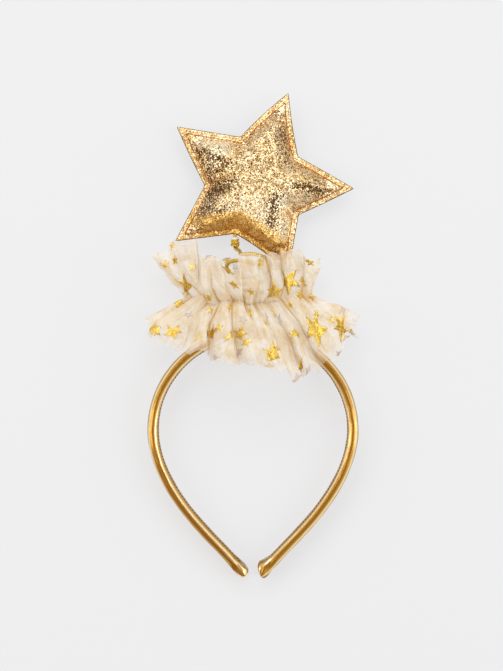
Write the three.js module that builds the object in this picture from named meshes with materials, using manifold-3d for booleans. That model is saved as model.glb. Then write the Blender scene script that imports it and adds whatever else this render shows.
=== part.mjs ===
// A christmas headband: a stuffed gold star on a wire spring that rises out of a gathered tulle
// ruffle, on a padded hairband. Millimetres, +Z up. It lies on its side on a flat surface, so the
// hairband's round lies level; X runs across it and +Y points from the hairband to the star.
// Until the last lines, X = 0 is the hairband's middle and Y = 0 lies just above its crown.
import * as THREE from "three";
import Module from "manifold-3d";

const wasm = await Module();
wasm.setup();

const DEG = Math.PI / 180;
const CLEARANCE = 0.3;

// Hairband: the right half of its middle line, from the crown to the end; the left half mirrors it.
// The ruffle under the crown tilts it a little.
const BAND_THICKNESS = 5.9;
const BAND_WIDTH = 12;
const BAND_TILT = 2 * DEG;
const BAND_HALF_LINE = [
  { x: 0, y: -4.8 },
  { x: 13.5, y: -6.6 },
  { x: 26.0, y: -12.0 },
  { x: 37.0, y: -20.6 },
  { x: 45.2, y: -31.8 },
  { x: 49.8, y: -44.2 },
  { x: 50.8, y: -57.4 },
  { x: 48.0, y: -70.6 },
  { x: 42.1, y: -83.4 },
  { x: 34.3, y: -95.0 },
  { x: 25.1, y: -105.8 },
  { x: 15.0, y: -116.4 },
  { x: 4.2, y: -127.9 },
];
const BAND_SECTION_POINTS = 14;
const BAND_SECTION_POWER = 2.5;
const BAND_HALF_STEPS = 24;
const BAND_END_SECTIONS = [
  { before_end: 14, thickness: 1.0, width: 1.0 },
  { before_end: 6, thickness: 1.08, width: 1.0 },
  { before_end: 3, thickness: 1.16, width: 1.0 },
  { before_end: 1.2, thickness: 1.12, width: 0.96 },
  { before_end: 0.3, thickness: 0.92, width: 0.88 },
  { before_end: 0, thickness: 0.62, width: 0.72 },
];

// Star: tips and notches measured round its middle, and how far the side after each bows out; a
// flat sewn flange and a stuffed body.
const STAR_MIDDLE = { x: 1.9, y: 70.6, z: 8.2 };
const STAR_CORNERS = [
  { turn: 70.8, reach: 49.8, bow: -0.5 },
  { turn: 33.9, reach: 25.6, bow: 0.2 },
  { turn: -2.4, reach: 50.0, bow: 0.2 },
  { turn: -35.9, reach: 26.6, bow: -0.2 },
  { turn: -70.0, reach: 48.6, bow: -1.1 },
  { turn: -113.6, reach: 27.6, bow: 0 },
  { turn: -145.2, reach: 51.0, bow: 0 },
  { turn: -178.8, reach: 26.7, bow: 0.3 },
  { turn: -215.9, reach: 50.7, bow: 0 },
  { turn: -251.1, reach: 25.8, bow: 0.7 },
];
const STAR_SIDE_STEPS = 6;
const STAR_FLANGE = 2.8;
const STAR_FLANGE_THICKNESS = 1.6;
const STAR_PUFF_FRONT = 9.5;
const STAR_PUFF_BACK = 8.6;
const STAR_PUFF_REACH = 19;
const STAR_RINGS = [0.1, 0.26, 0.42, 0.57, 0.7, 0.8, 0.88, 0.93, 1.0];

// Spring: one wire, hooked over the crown, coiled, and led up to the star as a stem. Its last turn
// is wider than the others and leans towards the star.
const WIRE_RADIUS = 0.95;
const COIL_RADIUS = 8.9;
const COIL_MIDDLE = { x: -3.4, z: 11.5 };
const COIL_START_Y = 2.9;
const COIL_OPEN_TURNS = 3.25;
const COIL_OPEN_PITCH = 6.9;
const COIL_END_RISE = 3.3;
const COIL_END_TURNS = 0.8;
const COIL_END_PITCH = 0.8;
const COIL_END_RADIUS = 11.2;
const COIL_END_MIDDLE = { x: -2.2, z: 12.9 };
const COIL_END_LEAN = 30 * DEG;
const COIL_LEAN_TURNS = 0.9;
const COIL_TURN_POINTS = 16;
const WIRE_STEPS = 128;
const STEM_TOP_INSIDE = 4;
const STEM_STRAIGHT = 6.8;
const SLEEVE_RADIUS = 2.1;
const SLEEVE_LENGTH = 5.5;
const SLEEVE_BELOW = 1.3;
const COLLAR_RADIUS = 2.1;
const COLLAR_LENGTH = 2.8;
const GLUE_RADIUS = 1.9;
const GLUE_LENGTH = 1.3;

// Ruffle: a tube of pleated tulle drawn in at its waist. Each row is one pleat's ridge, from the
// left end over the front to the right end; the pleats at the back lie flat under them.
const TULLE_THICKNESS = 1;
const WAIST = { x: -3.0, side_y: 15.2, front_y: 10.4, side_z: 11, front_z: 27 };
const BACK_Z = 0.5;
const EDGE_SIDE_Z = 11;
const UPPER_FRONT_Z = 36;
const LOWER_FRONT_Z = 34;
const PLEAT_WAIST_HEIGHT = 1.3;
const PLEAT_EDGE_HEIGHT = 4.4;
const PLEAT_BACK_SHARE = 0.28;
const FRILL_BULGE = 3;
const PLEAT_STEPS = 6;
const FRILL_STEPS = 5;
const PLEATS = [
  { round: 180, waist_x: -33.3, up_x: -45.6, up_y: 31.8, down_x: -50.0, down_y: -1.5 },
  { round: 162, waist_x: -28.2, up_x: -46.6, up_y: 37.4, down_x: -49.2, down_y: -7.2 },
  { round: 144, waist_x: -21.0, up_x: -35.9, up_y: 42.3, down_x: -39.8, down_y: -12.0 },
  { round: 126, waist_x: -15.9, up_x: -23.1, up_y: 36.9, down_x: -25.7, down_y: -15.9 },
  { round: 108, waist_x: -10.8, up_x: -17.4, up_y: 36.4, down_x: -15.9, down_y: -20.0 },
  { round: 90, waist_x: -5.1, up_x: -9.7, up_y: 28.2, down_x: -6.7, down_y: -19.0 },
  { round: 72, waist_x: 0.5, up_x: -1.5, up_y: 34.9, down_x: 4.6, down_y: -24.6 },
  { round: 54, waist_x: 6.2, up_x: 10.3, up_y: 34.4, down_x: 20.5, down_y: -29.8 },
  { round: 36, waist_x: 12.3, up_x: 19.0, up_y: 36.4, down_x: 31.8, down_y: -23.1 },
  { round: 18, waist_x: 20.0, up_x: 29.4, up_y: 34.2, down_x: 46.6, down_y: -16.6 },
  { round: 0, waist_x: 27.7, up_x: 29.4, up_y: 25.8, down_x: 52.2, down_y: -0.5 },
  { round: -18, waist_x: 26.5, up_x: 28.0, up_y: 30.0, down_x: 49.5, down_y: -9.0 },
  { round: -36, waist_x: 22.1, up_x: 22.5, up_y: 34.0, down_x: 39.0, down_y: -16.0 },
  { round: -54, waist_x: 15.2, up_x: 13.5, up_y: 33.5, down_x: 25.0, down_y: -21.0 },
  { round: -72, waist_x: 6.6, up_x: 4.0, up_y: 32.5, down_x: 11.0, down_y: -22.5 },
  { round: -90, waist_x: -3.0, up_x: -6.0, up_y: 32.5, down_x: -3.5, down_y: -21.0 },
  { round: -108, waist_x: -12.6, up_x: -16.0, up_y: 33.0, down_x: -17.0, down_y: -18.0 },
  { round: -126, waist_x: -21.2, up_x: -26.0, up_y: 34.0, down_x: -29.0, down_y: -13.0 },
  { round: -144, waist_x: -28.1, up_x: -36.0, up_y: 34.5, down_x: -39.5, down_y: -8.0 },
  { round: -162, waist_x: -32.5, up_x: -43.5, up_y: 33.0, down_x: -47.0, down_y: -2.5 },
];

// Returns the volume that a triangle mesh encloses; it is negative where the faces look inward.
function enclosedVolume(points, triangles) {
  let volume = 0;
  const cross = new THREE.Vector3();
  for (const [a, b, c] of triangles) {
    volume += points[a].dot(cross.crossVectors(points[b], points[c])) / 6;
  }
  return volume;
}

// Makes a geometry from points and triangles, turned so that the faces look outward.
function outwardGeometry(points, triangles) {
  const flip = enclosedVolume(points, triangles) < 0;
  const index = triangles.flatMap(([a, b, c]) => (flip ? [a, c, b] : [a, b, c]));
  const geometry = new THREE.BufferGeometry();
  geometry.setAttribute(
    "position",
    new THREE.Float32BufferAttribute(points.flatMap((p) => [p.x, p.y, p.z]), 3),
  );
  geometry.setIndex(index);
  geometry.computeVertexNormals();
  return geometry;
}

// Skins a row of closed rings, each with the same count of points, and fans both ends shut.
function loft(rings) {
  const around = rings[0].length;
  const points = rings.flat();
  const triangles = [];
  for (let r = 0; r + 1 < rings.length; r += 1) {
    for (let i = 0; i < around; i += 1) {
      const a = r * around + i;
      const b = r * around + ((i + 1) % around);
      triangles.push([a, b, b + around], [a, b + around, a + around]);
    }
  }
  for (const end of [0, rings.length - 1]) {
    const middle = new THREE.Vector3();
    rings[end].forEach((p) => middle.addScaledVector(p, 1 / around));
    const hub = points.push(middle) - 1;
    for (let i = 0; i < around; i += 1) {
      const a = end * around + i;
      const b = end * around + ((i + 1) % around);
      triangles.push(end === 0 ? [hub, b, a] : [hub, a, b]);
    }
  }
  return outwardGeometry(points, triangles);
}

// Joins an outer and an inner skin, both closed round and open at the ends, into one wall.
function wall(outer, inner) {
  const around = outer[0].length;
  const skin = outer.length * around;
  const points = [...outer.flat(), ...inner.flat()];
  const triangles = [];
  const quad = (a, b, c, d) => triangles.push([a, b, c], [a, c, d]);
  for (let i = 0; i < around; i += 1) {
    const n = (i + 1) % around;
    for (let r = 0; r + 1 < outer.length; r += 1) {
      const a = r * around + i;
      const b = r * around + n;
      quad(a, b, b + around, a + around);
      quad(skin + a, skin + a + around, skin + b + around, skin + b);
    }
    const last = (outer.length - 1) * around;
    quad(i, skin + i, skin + n, n);
    quad(last + i, last + n, skin + last + n, skin + last + i);
  }
  return outwardGeometry(points, triangles);
}

// Turns a geometry into a Manifold solid for a boolean, and back.
function toManifold(geometry) {
  return new wasm.Manifold(new wasm.Mesh({
    numProp: 3,
    vertProperties: new Float32Array(geometry.attributes.position.array),
    triVerts: new Uint32Array(geometry.index.array),
  }));
}

function fromManifold(solid) {
  const mesh = solid.getMesh();
  const geometry = new THREE.BufferGeometry();
  const coordinates = [];
  for (let v = 0; v < mesh.vertProperties.length; v += mesh.numProp) {
    coordinates.push(...mesh.vertProperties.slice(v, v + 3));
  }
  geometry.setAttribute("position", new THREE.Float32BufferAttribute(coordinates, 3));
  geometry.setIndex([...mesh.triVerts]);
  geometry.computeVertexNormals();
  return geometry;
}

// A plain round bar between two points, as a lofted geometry.
function bar(from, to, radius, sides) {
  const along = new THREE.Vector3().subVectors(to, from).normalize();
  const across = new THREE.Vector3(0, 0, 1).cross(along).normalize();
  const up = new THREE.Vector3().crossVectors(along, across);
  const ring = (middle) => Array.from({ length: sides }, (_, i) => {
    const turn = (2 * Math.PI * i) / sides;
    return middle.clone()
      .addScaledVector(across, radius * Math.cos(turn))
      .addScaledVector(up, radius * Math.sin(turn));
  });
  return loft([ring(from), ring(to)]);
}

const model = new THREE.Group();
model.name = "christmas_headband";

function addPiece(name, geometry, color, roughness, metalness) {
  const material = new THREE.MeshStandardMaterial({ color, roughness, metalness });
  const mesh = new THREE.Mesh(geometry, material);
  mesh.name = name;
  model.add(mesh);
  return mesh;
}

// Hairband: stations along the middle line carry a rounded section.
const bandRight = BAND_HALF_LINE.map(({ x, y }) => new THREE.Vector3(x, y, 0));
const bandLeft = BAND_HALF_LINE.slice(1).reverse().map(({ x, y }) => new THREE.Vector3(-x, y, 0));
const bandLine = new THREE.CatmullRomCurve3([...bandLeft, ...bandRight], false, "centripetal");
bandLine.arcLengthDivisions = 1200;
const bandLength = bandLine.getLength();

function bandStation(along) {
  const place = bandLine.getPointAt(along / bandLength);
  const ahead = bandLine.getTangentAt(along / bandLength);
  return { place, out: new THREE.Vector2(-ahead.y, ahead.x) };
}

function bandEndSize(along) {
  const before = Math.min(along, bandLength - along);
  const rows = BAND_END_SECTIONS;
  if (before >= rows[0].before_end) return rows[0];
  const next = rows.findIndex((row) => row.before_end <= before);
  const share = (rows[next - 1].before_end - before)
    / (rows[next - 1].before_end - rows[next].before_end);
  return {
    thickness: THREE.MathUtils.lerp(rows[next - 1].thickness, rows[next].thickness, share),
    width: THREE.MathUtils.lerp(rows[next - 1].width, rows[next].width, share),
  };
}

function bandSection(along) {
  const { place, out } = bandStation(along);
  const size = bandEndSize(along);
  const soft = 2 / BAND_SECTION_POWER;
  return Array.from({ length: BAND_SECTION_POINTS }, (_, i) => {
    const turn = (2 * Math.PI * i) / BAND_SECTION_POINTS;
    const c = Math.cos(turn);
    const s = Math.sin(turn);
    const r = Math.sign(c) * Math.abs(c) ** soft * size.thickness * BAND_THICKNESS / 2;
    const z = Math.sign(s) * Math.abs(s) ** soft * size.width * BAND_WIDTH / 2;
    return new THREE.Vector3(place.x + out.x * r, place.y + out.y * r, z);
  });
}

const bandStations = BAND_END_SECTIONS.map((row) => row.before_end).reverse();
const endLength = BAND_END_SECTIONS[0].before_end;
for (let i = 1; i <= BAND_HALF_STEPS; i += 1) {
  bandStations.push(endLength + (bandLength / 2 - endLength) * i / BAND_HALF_STEPS);
}
const otherHalf = bandStations.slice(0, -1).reverse().map((along) => bandLength - along);
const bandGeometry = loft([...bandStations, ...otherHalf].map(bandSection));
bandGeometry.rotateX(BAND_TILT);
bandGeometry.computeBoundingBox();
const bandLift = -bandGeometry.boundingBox.min.z;
bandGeometry.translate(0, 0, bandLift);
addPiece("hairband", bandGeometry, 0xd6a650, 0.3, 0.85);

// Star outline: sides between the corners, split evenly and bowed a little.
const starCorners = STAR_CORNERS.map(({ turn, reach }) => new THREE.Vector2(
  STAR_MIDDLE.x + reach * Math.cos(turn * DEG),
  STAR_MIDDLE.y + reach * Math.sin(turn * DEG),
));
const starOutline = starCorners.flatMap((corner, i) => {
  const next = starCorners[(i + 1) % starCorners.length];
  const side = new THREE.Vector2().subVectors(next, corner).normalize();
  const out = new THREE.Vector2(-side.y, side.x);
  return Array.from({ length: STAR_SIDE_STEPS }, (_, k) => {
    const share = k / STAR_SIDE_STEPS;
    const bow = STAR_CORNERS[i].bow * 4 * share * (1 - share);
    return corner.clone().lerp(next, share).addScaledVector(out, bow);
  });
});

function distanceToOutline(point) {
  let least = Infinity;
  for (let i = 0; i < starOutline.length; i += 1) {
    const a = starOutline[i];
    const side = new THREE.Vector2().subVectors(starOutline[(i + 1) % starOutline.length], a);
    const offset = new THREE.Vector2().subVectors(point, a);
    const share = THREE.MathUtils.clamp(offset.dot(side) / side.lengthSq(), 0, 1);
    least = Math.min(least, offset.addScaledVector(side, -share).length());
  }
  return least;
}

// The stuffing swells with the distance from the seam, and levels off towards the middle.
function starHeight(point, puff) {
  const inside = Math.max(distanceToOutline(point) - STAR_FLANGE, 0) / STAR_PUFF_REACH;
  const swell = Math.sqrt(1 - (1 - Math.min(inside, 1)) ** 2);
  return STAR_FLANGE_THICKNESS / 2 + (puff - STAR_FLANGE_THICKNESS / 2) * swell;
}

function starRing(share, puff, facing) {
  return starOutline.map((edge) => {
    const point = new THREE.Vector2(STAR_MIDDLE.x, STAR_MIDDLE.y).lerp(edge, share);
    const z = STAR_MIDDLE.z + facing * starHeight(point, puff);
    return new THREE.Vector3(point.x, point.y, Math.max(z, 0));
  });
}

const starRings = [
  ...STAR_RINGS.map((share) => starRing(share, STAR_PUFF_BACK, -1)),
  ...[...STAR_RINGS].reverse().map((share) => starRing(share, STAR_PUFF_FRONT, 1)),
];
let starSolid = toManifold(loft(starRings));

// Spring: the coil's round is turned about its own middle, and widens and leans to its last turn.
const stemNotch = new THREE.Vector3(starCorners[5].x, starCorners[5].y, STAR_MIDDLE.z);
const wirePoints = [];
const crownZ = bandLift;
const hookY = BAND_HALF_LINE[0].y - BAND_THICKNESS / 2 - CLEARANCE - WIRE_RADIUS - 0.1;
const overTop = crownZ + BAND_WIDTH / 2 + CLEARANCE + WIRE_RADIUS;
wirePoints.push(new THREE.Vector3(COIL_MIDDLE.x + 3, hookY, crownZ - 3));
wirePoints.push(new THREE.Vector3(COIL_MIDDLE.x + 3, hookY, crownZ));
wirePoints.push(new THREE.Vector3(COIL_MIDDLE.x + 3, hookY, overTop - 1.6));
wirePoints.push(new THREE.Vector3(COIL_MIDDLE.x + 3, hookY + 1.6, overTop + 1.2));
wirePoints.push(new THREE.Vector3(COIL_MIDDLE.x + 2.6, hookY + 4.6, overTop + 2.6));
const coilTurns = COIL_OPEN_TURNS + COIL_END_TURNS;
const coilCount = Math.round(coilTurns * COIL_TURN_POINTS);
for (let i = 1; i <= coilCount; i += 1) {
  const turns = (coilTurns * i) / coilCount;
  const openTurns = Math.min(turns, COIL_OPEN_TURNS);
  const endTurns = turns - openTurns;
  const leaning = THREE.MathUtils.smoothstep(
    turns, COIL_OPEN_TURNS - COIL_LEAN_TURNS, COIL_OPEN_TURNS,
  );
  const lean = COIL_END_LEAN * leaning;
  const radius = THREE.MathUtils.lerp(COIL_RADIUS, COIL_END_RADIUS, leaning);
  const y = COIL_START_Y + openTurns * COIL_OPEN_PITCH + endTurns * COIL_END_PITCH
    + COIL_END_RISE * leaning;
  const turn = Math.PI / 2 + 2 * Math.PI * turns;
  const up = radius * Math.sin(turn);
  wirePoints.push(new THREE.Vector3(
    THREE.MathUtils.lerp(COIL_MIDDLE.x, COIL_END_MIDDLE.x, leaning) + radius * Math.cos(turn),
    y + up * Math.sin(lean),
    THREE.MathUtils.lerp(COIL_MIDDLE.z, COIL_END_MIDDLE.z, leaning) + up * Math.cos(lean),
  ));
}
const coilEnd = wirePoints[wirePoints.length - 1];
const stemTop = stemNotch.clone().add(new THREE.Vector3(0, STEM_TOP_INSIDE, 0));
const stemFoot = stemNotch.clone().add(new THREE.Vector3(0.1, -STEM_STRAIGHT, 0));
wirePoints.push(coilEnd.clone().lerp(stemFoot, 0.5).add(new THREE.Vector3(0.5, 0, 0)));
wirePoints.push(stemFoot);
wirePoints.push(stemNotch.clone().lerp(stemFoot, 0.5));
wirePoints.push(stemNotch.clone());
wirePoints.push(stemTop);
const wirePath = new THREE.CatmullRomCurve3(wirePoints, false, "centripetal");
const wireRound = new THREE.Shape();
wireRound.absarc(0, 0, WIRE_RADIUS, 0, 2 * Math.PI, false);
const wireGeometry = new THREE.ExtrudeGeometry(wireRound, {
  steps: WIRE_STEPS,
  curveSegments: 4,
  bevelEnabled: false,
  extrudePath: wirePath,
});
addPiece("spring_wire", wireGeometry, 0xc9a227, 0.28, 0.9);

// The cloth puckers round the stem as a short sleeve, with a socket for the wire.
const sleeveFrom = stemNotch.clone().add(new THREE.Vector3(0, -SLEEVE_BELOW, 0));
const sleeveTo = stemNotch.clone().add(new THREE.Vector3(0, SLEEVE_LENGTH, 0));
starSolid = starSolid.add(toManifold(bar(sleeveFrom, sleeveTo, SLEEVE_RADIUS, 12)));
const socketFrom = stemNotch.clone().add(new THREE.Vector3(0, -2, 0));
const socketTo = stemTop.clone().add(new THREE.Vector3(0, CLEARANCE, 0));
starSolid = starSolid.subtract(
  toManifold(bar(socketFrom, socketTo, WIRE_RADIUS + CLEARANCE, 12)),
);
addPiece("star_pad", fromManifold(starSolid), 0xd9b36a, 0.45, 0.6);

// Collar and glue: rings on the stem, clear of the wire.
const boreRadius = WIRE_RADIUS + CLEARANCE;

function ringOnStem(name, middle, radius, length, color, roughness, metalness) {
  const profile = [
    [boreRadius, -length / 2],
    [boreRadius + (radius - boreRadius) * 0.6, -length / 2],
    [radius, -length / 5],
    [radius, length / 5],
    [boreRadius + (radius - boreRadius) * 0.6, length / 2],
    [boreRadius, length / 2],
    [boreRadius, -length / 2],
  ].map(([r, y]) => new THREE.Vector2(r, y));
  const geometry = new THREE.LatheGeometry(profile, 16);
  const stem = wirePath.getPointAt(middle);
  const along = wirePath.getTangentAt(middle);
  const turn = new THREE.Quaternion().setFromUnitVectors(new THREE.Vector3(0, 1, 0), along);
  geometry.applyQuaternion(turn);
  geometry.translate(stem.x, stem.y, stem.z);
  addPiece(name, geometry, color, roughness, metalness);
}

const wireLength = wirePath.getLength();
const glueBelow = STEM_TOP_INSIDE + SLEEVE_BELOW + CLEARANCE + GLUE_LENGTH / 2;
const glueAt = 1 - glueBelow / wireLength;
const collarAt = glueAt - (GLUE_LENGTH / 2 + CLEARANCE + COLLAR_LENGTH / 2) / wireLength;
ringOnStem("glue_dab", glueAt, GLUE_RADIUS, GLUE_LENGTH, 0xf2ead8, 0.5, 0);
ringOnStem("stem_collar", collarAt, COLLAR_RADIUS, COLLAR_LENGTH, 0xc9a227, 0.3, 0.9);

// Ruffle: three closed lines, the waist and both edges, carry the pleats between them.
function frontLift(round, side, front, back) {
  const s = Math.sin(round * DEG);
  if (s >= 0) return side + (front - side) * s;
  return Math.max(back, side + (side - back) * 1.7 * s);
}

const waistLine = new THREE.CatmullRomCurve3(PLEATS.map(({ round, waist_x }) => new THREE.Vector3(
  waist_x,
  THREE.MathUtils.lerp(WAIST.side_y, WAIST.front_y, Math.abs(Math.sin(round * DEG))),
  frontLift(round, WAIST.side_z, WAIST.front_z, BACK_Z),
)), true);
const upperLine = new THREE.CatmullRomCurve3(PLEATS.map(({ round, up_x, up_y }) => (
  new THREE.Vector3(up_x, up_y, frontLift(round, EDGE_SIDE_Z, UPPER_FRONT_Z, BACK_Z))
)), true);
const lowerLine = new THREE.CatmullRomCurve3(PLEATS.map(({ round, down_x, down_y }) => (
  new THREE.Vector3(down_x, down_y, frontLift(round, EDGE_SIDE_Z, LOWER_FRONT_Z, BACK_Z))
)), true);

// A point of the cloth's middle before it is pleated; reach runs from -1, lower edge, to 1, upper.
function frillPoint(round, reach) {
  const waist = waistLine.getPoint(round);
  const edge = (reach < 0 ? lowerLine : upperLine).getPoint(round);
  const out = new THREE.Vector3(waist.x - WAIST.x, 0, waist.z - WAIST.side_z).normalize();
  const share = Math.abs(reach);
  const bulge = FRILL_BULGE * Math.sin(Math.PI * share) * (out.z < -0.2 ? 0 : 1);
  return waist.lerp(edge, share).addScaledVector(out, bulge);
}

function pleatedPoint(round, reach) {
  const step = 1e-3;
  const point = frillPoint(round, reach);
  const across = frillPoint((round + step) % 1, reach)
    .sub(frillPoint((round - step + 1) % 1, reach));
  const along = frillPoint(round, Math.min(reach + step, 1))
    .sub(frillPoint(round, Math.max(reach - step, -1)));
  const out = across.cross(along).normalize();
  const back = THREE.MathUtils.smoothstep(-out.z, -0.1, 0.7);
  const grow = THREE.MathUtils.smoothstep(Math.abs(reach), 0, 1.1);
  const height = THREE.MathUtils.lerp(PLEAT_WAIST_HEIGHT, PLEAT_EDGE_HEIGHT, grow)
    * THREE.MathUtils.lerp(1, PLEAT_BACK_SHARE, back);
  point.addScaledVector(out, height * Math.cos(2 * Math.PI * round * PLEATS.length));
  point.z = Math.max(point.z, TULLE_THICKNESS / 2);
  return point;
}

const aroundCount = PLEATS.length * PLEAT_STEPS;
const reaches = Array.from({ length: 2 * FRILL_STEPS + 1 }, (_, i) => i / FRILL_STEPS - 1);
const cloth = reaches.map((reach) => (
  Array.from({ length: aroundCount }, (_, i) => pleatedPoint(i / aroundCount, reach))
));

function clothNormal(row, i) {
  const up = cloth[Math.min(row + 1, cloth.length - 1)][i];
  const down = cloth[Math.max(row - 1, 0)][i];
  const next = cloth[row][(i + 1) % aroundCount];
  const before = cloth[row][(i + aroundCount - 1) % aroundCount];
  return new THREE.Vector3().subVectors(next, before)
    .cross(new THREE.Vector3().subVectors(up, down)).normalize();
}

function clothSkin(offset) {
  return cloth.map((line, row) => line.map((point, i) => {
    const moved = point.clone().addScaledVector(clothNormal(row, i), offset);
    moved.z = Math.max(moved.z, 0);
    return moved;
  }));
}

addPiece(
  "tulle_ruffle",
  wall(clothSkin(TULLE_THICKNESS / 2), clothSkin(-TULLE_THICKNESS / 2)),
  0xefe4d2, 0.7, 0,
);

// The origin is the middle of the underside.
const extent = new THREE.Box3().setFromObject(model);
const shift = extent.getCenter(new THREE.Vector3()).negate();
shift.z = -extent.min.z;
for (const mesh of model.children) mesh.geometry.translate(shift.x, shift.y, shift.z);

export default model;
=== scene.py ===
# The christmas headband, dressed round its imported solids: a lame hairband, a wire spring with its
# collar and glue, a stuffed glitter star and a gathered tulle ruffle with foil stars.
# Sizes are in millimetres until a point is placed; X = 0 is the hairband's middle.
import math

import bpy
import numpy as np
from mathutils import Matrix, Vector, noise
from mathutils.bvhtree import BVHTree
from mathutils.geometry import delaunay_2d_cdt


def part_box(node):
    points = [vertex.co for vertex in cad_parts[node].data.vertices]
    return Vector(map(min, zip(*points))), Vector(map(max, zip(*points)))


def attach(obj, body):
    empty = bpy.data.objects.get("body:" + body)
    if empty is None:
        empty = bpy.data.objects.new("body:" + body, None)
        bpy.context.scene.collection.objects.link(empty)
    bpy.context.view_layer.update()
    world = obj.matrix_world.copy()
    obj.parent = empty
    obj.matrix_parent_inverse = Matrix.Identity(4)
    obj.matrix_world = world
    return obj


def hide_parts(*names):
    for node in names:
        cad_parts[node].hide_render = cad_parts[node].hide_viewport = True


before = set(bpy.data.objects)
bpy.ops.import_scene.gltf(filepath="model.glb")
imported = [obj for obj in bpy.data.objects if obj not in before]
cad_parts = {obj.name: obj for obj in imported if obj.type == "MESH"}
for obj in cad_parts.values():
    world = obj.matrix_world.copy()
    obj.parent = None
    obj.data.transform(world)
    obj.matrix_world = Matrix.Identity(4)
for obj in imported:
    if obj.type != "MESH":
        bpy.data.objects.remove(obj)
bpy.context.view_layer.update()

# Hairband: a padded band covered in gold lame, bent to a round crown with two arms that nearly
# meet. The cover is pulled tight along the band, tucked in at both ends and sewn up inside.
MM = 0.001
BAND_THICKNESS = 5.9
BAND_WIDTH = 12.0
BAND_POWER = 2.35
BAND_TILT = math.radians(2)
BAND_HALF_LINE = [
    (0, -4.8), (13.5, -6.6), (26.0, -12.0), (37.0, -20.6), (45.2, -31.8), (49.8, -44.2),
    (50.8, -57.4), (48.0, -70.6), (42.1, -83.4), (34.3, -95.0), (25.1, -105.8), (15.0, -116.4),
    (4.2, -127.9),
]
CROWN_Y = BAND_HALF_LINE[0][1]
BAND_AROUND = 44
BAND_STEPS = 380
BAND_END_ZONE = 15.0
BAND_END_STEPS = 34
BAND_END_CLOSER = 1.6
# How the cover's inner and outer halves swell towards an end, how far the end is cut askew, how far
# the empty cover runs on past the core, and how its folds twist.
END_BEFORE = [0.0, 0.35, 1.2, 3.0, 6.0, 10.0, 15.0]
LEFT_END = {
    "inner": [0.70, 0.84, 0.95, 1.03, 1.02, 1.0, 1.0],
    "outer": [0.52, 0.70, 0.88, 1.04, 1.08, 1.03, 1.0],
    "askew": 0.12, "run_on": 0.7, "twist": 0.55,
}
RIGHT_END = {
    "inner": [0.90, 1.22, 1.50, 1.58, 1.24, 1.04, 1.0],
    "outer": [0.40, 0.64, 0.82, 0.98, 1.02, 1.0, 1.0],
    "askew": 0.42, "run_on": 0.6, "twist": -0.6,
}
END_FLATTENED = ([0, 0.4, 2, 6], [0.74, 0.90, 0.98, 1.0])
END_ASKEW_REACH = 9
END_TUCKS = [(0.86, 0.25), (0.66, 0.38), (0.42, 0.30), (0.2, 0.0)]
END_FOLD_DEPTH = 0.36
END_PUCKER_DEPTH = 0.12
END_FOLDS_FROM = 2
# Slight waves all along the cover: depth, turn per millimetre along and turns round the section.
COVER_WAVES = [(0.045, 0.23, 2), (0.03, 0.61, -3)]
# Colours of the painted reflection stripes and painted shade lines round the lame's section.
BAND_HIGHLIGHT = (1.0, 0.84, 0.50)
BAND_GOLD = (0.76, 0.48, 0.14)
BAND_DARK_REFLECTION = (0.50, 0.25, 0.035)
BAND_EDGE_SHADE = (0.44, 0.235, 0.045)
BAND_SHADE_LINE = (0.24, 0.12, 0.02)
BAND_SOFT_HIGHLIGHT = (0.86, 0.60, 0.25)

band_low, band_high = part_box("hairband")
PLACE_X = (band_low.x + band_high.x) / 2
PLACE_Y = band_high.y - (CROWN_Y + BAND_THICKNESS / 2) * MM


def placed(points):
    """Headband millimetres to the frame's metres."""
    return np.asarray(points, float) * MM + np.array([PLACE_X, PLACE_Y, 0.0])


def between(a, b, share):
    return a + (b - a) * share


def smoothstep(value, low, high):
    share = np.clip((np.asarray(value, float) - low) / (high - low), 0, 1)
    return share * share * (3 - 2 * share)


def length_of(offsets):
    return np.linalg.norm(offsets, axis=-1, keepdims=True)


def line_piece(p0, p1, p2, p3, share):
    """Centripetal Catmull-Rom between p1 and p2."""
    t1 = np.sqrt(length_of(p1 - p0))
    t2 = t1 + np.sqrt(length_of(p2 - p1))
    t3 = t2 + np.sqrt(length_of(p3 - p2))
    t = between(t1, t2, share)
    a1 = (p0 * (t1 - t) + p1 * t) / t1
    a2 = (p1 * (t2 - t) + p2 * (t - t1)) / (t2 - t1)
    a3 = (p2 * (t3 - t) + p3 * (t - t2)) / (t3 - t2)
    b1 = (a1 * (t2 - t) + a2 * t) / t2
    b2 = (a2 * (t3 - t) + a3 * (t - t1)) / (t3 - t1)
    return (b1 * (t2 - t) + b2 * (t - t1)) / (t2 - t1)


def smooth_line(points, steps=40):
    """A dense smooth line through the points, and the length along it."""
    points = np.asarray(points, float)
    padded = np.vstack([2 * points[0] - points[1], points, 2 * points[-1] - points[-2]])
    share = np.linspace(0, 1, steps, endpoint=False)[:, None]
    spans = [
        line_piece(*(padded[i + k][None] for k in range(4)), share)
        for i in range(len(points) - 1)
    ]
    line = np.vstack([*spans, points[-1:]])
    along = np.concatenate([[0], np.cumsum(length_of(np.diff(line, axis=0)))])
    return line, along


def on_line(line, along, where):
    return np.stack([np.interp(where, along, line[:, k]) for k in range(line.shape[1])], axis=-1)


def show(name, mesh):
    piece = bpy.data.objects.new(name, mesh)
    bpy.context.scene.collection.objects.link(piece)
    return piece


def mesh_of(name, points, faces, edges=()):
    mesh = bpy.data.meshes.new(name)
    mesh.from_pydata([tuple(p) for p in points], edges, faces)
    return mesh


def ring_faces(rows, around, order):
    """Four-cornered faces between closed rings: their corners by number, and by row and column."""
    steps = [((0, 0), (1, 0), (1, 1), (0, 1))[k] for k in order]
    corners = [[(r + a, i + b) for a, b in steps] for r in range(rows - 1) for i in range(around)]
    faces = [tuple(r * around + i % around for r, i in face) for face in corners]
    return faces, [corner for face in corners for corner in face]


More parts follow.
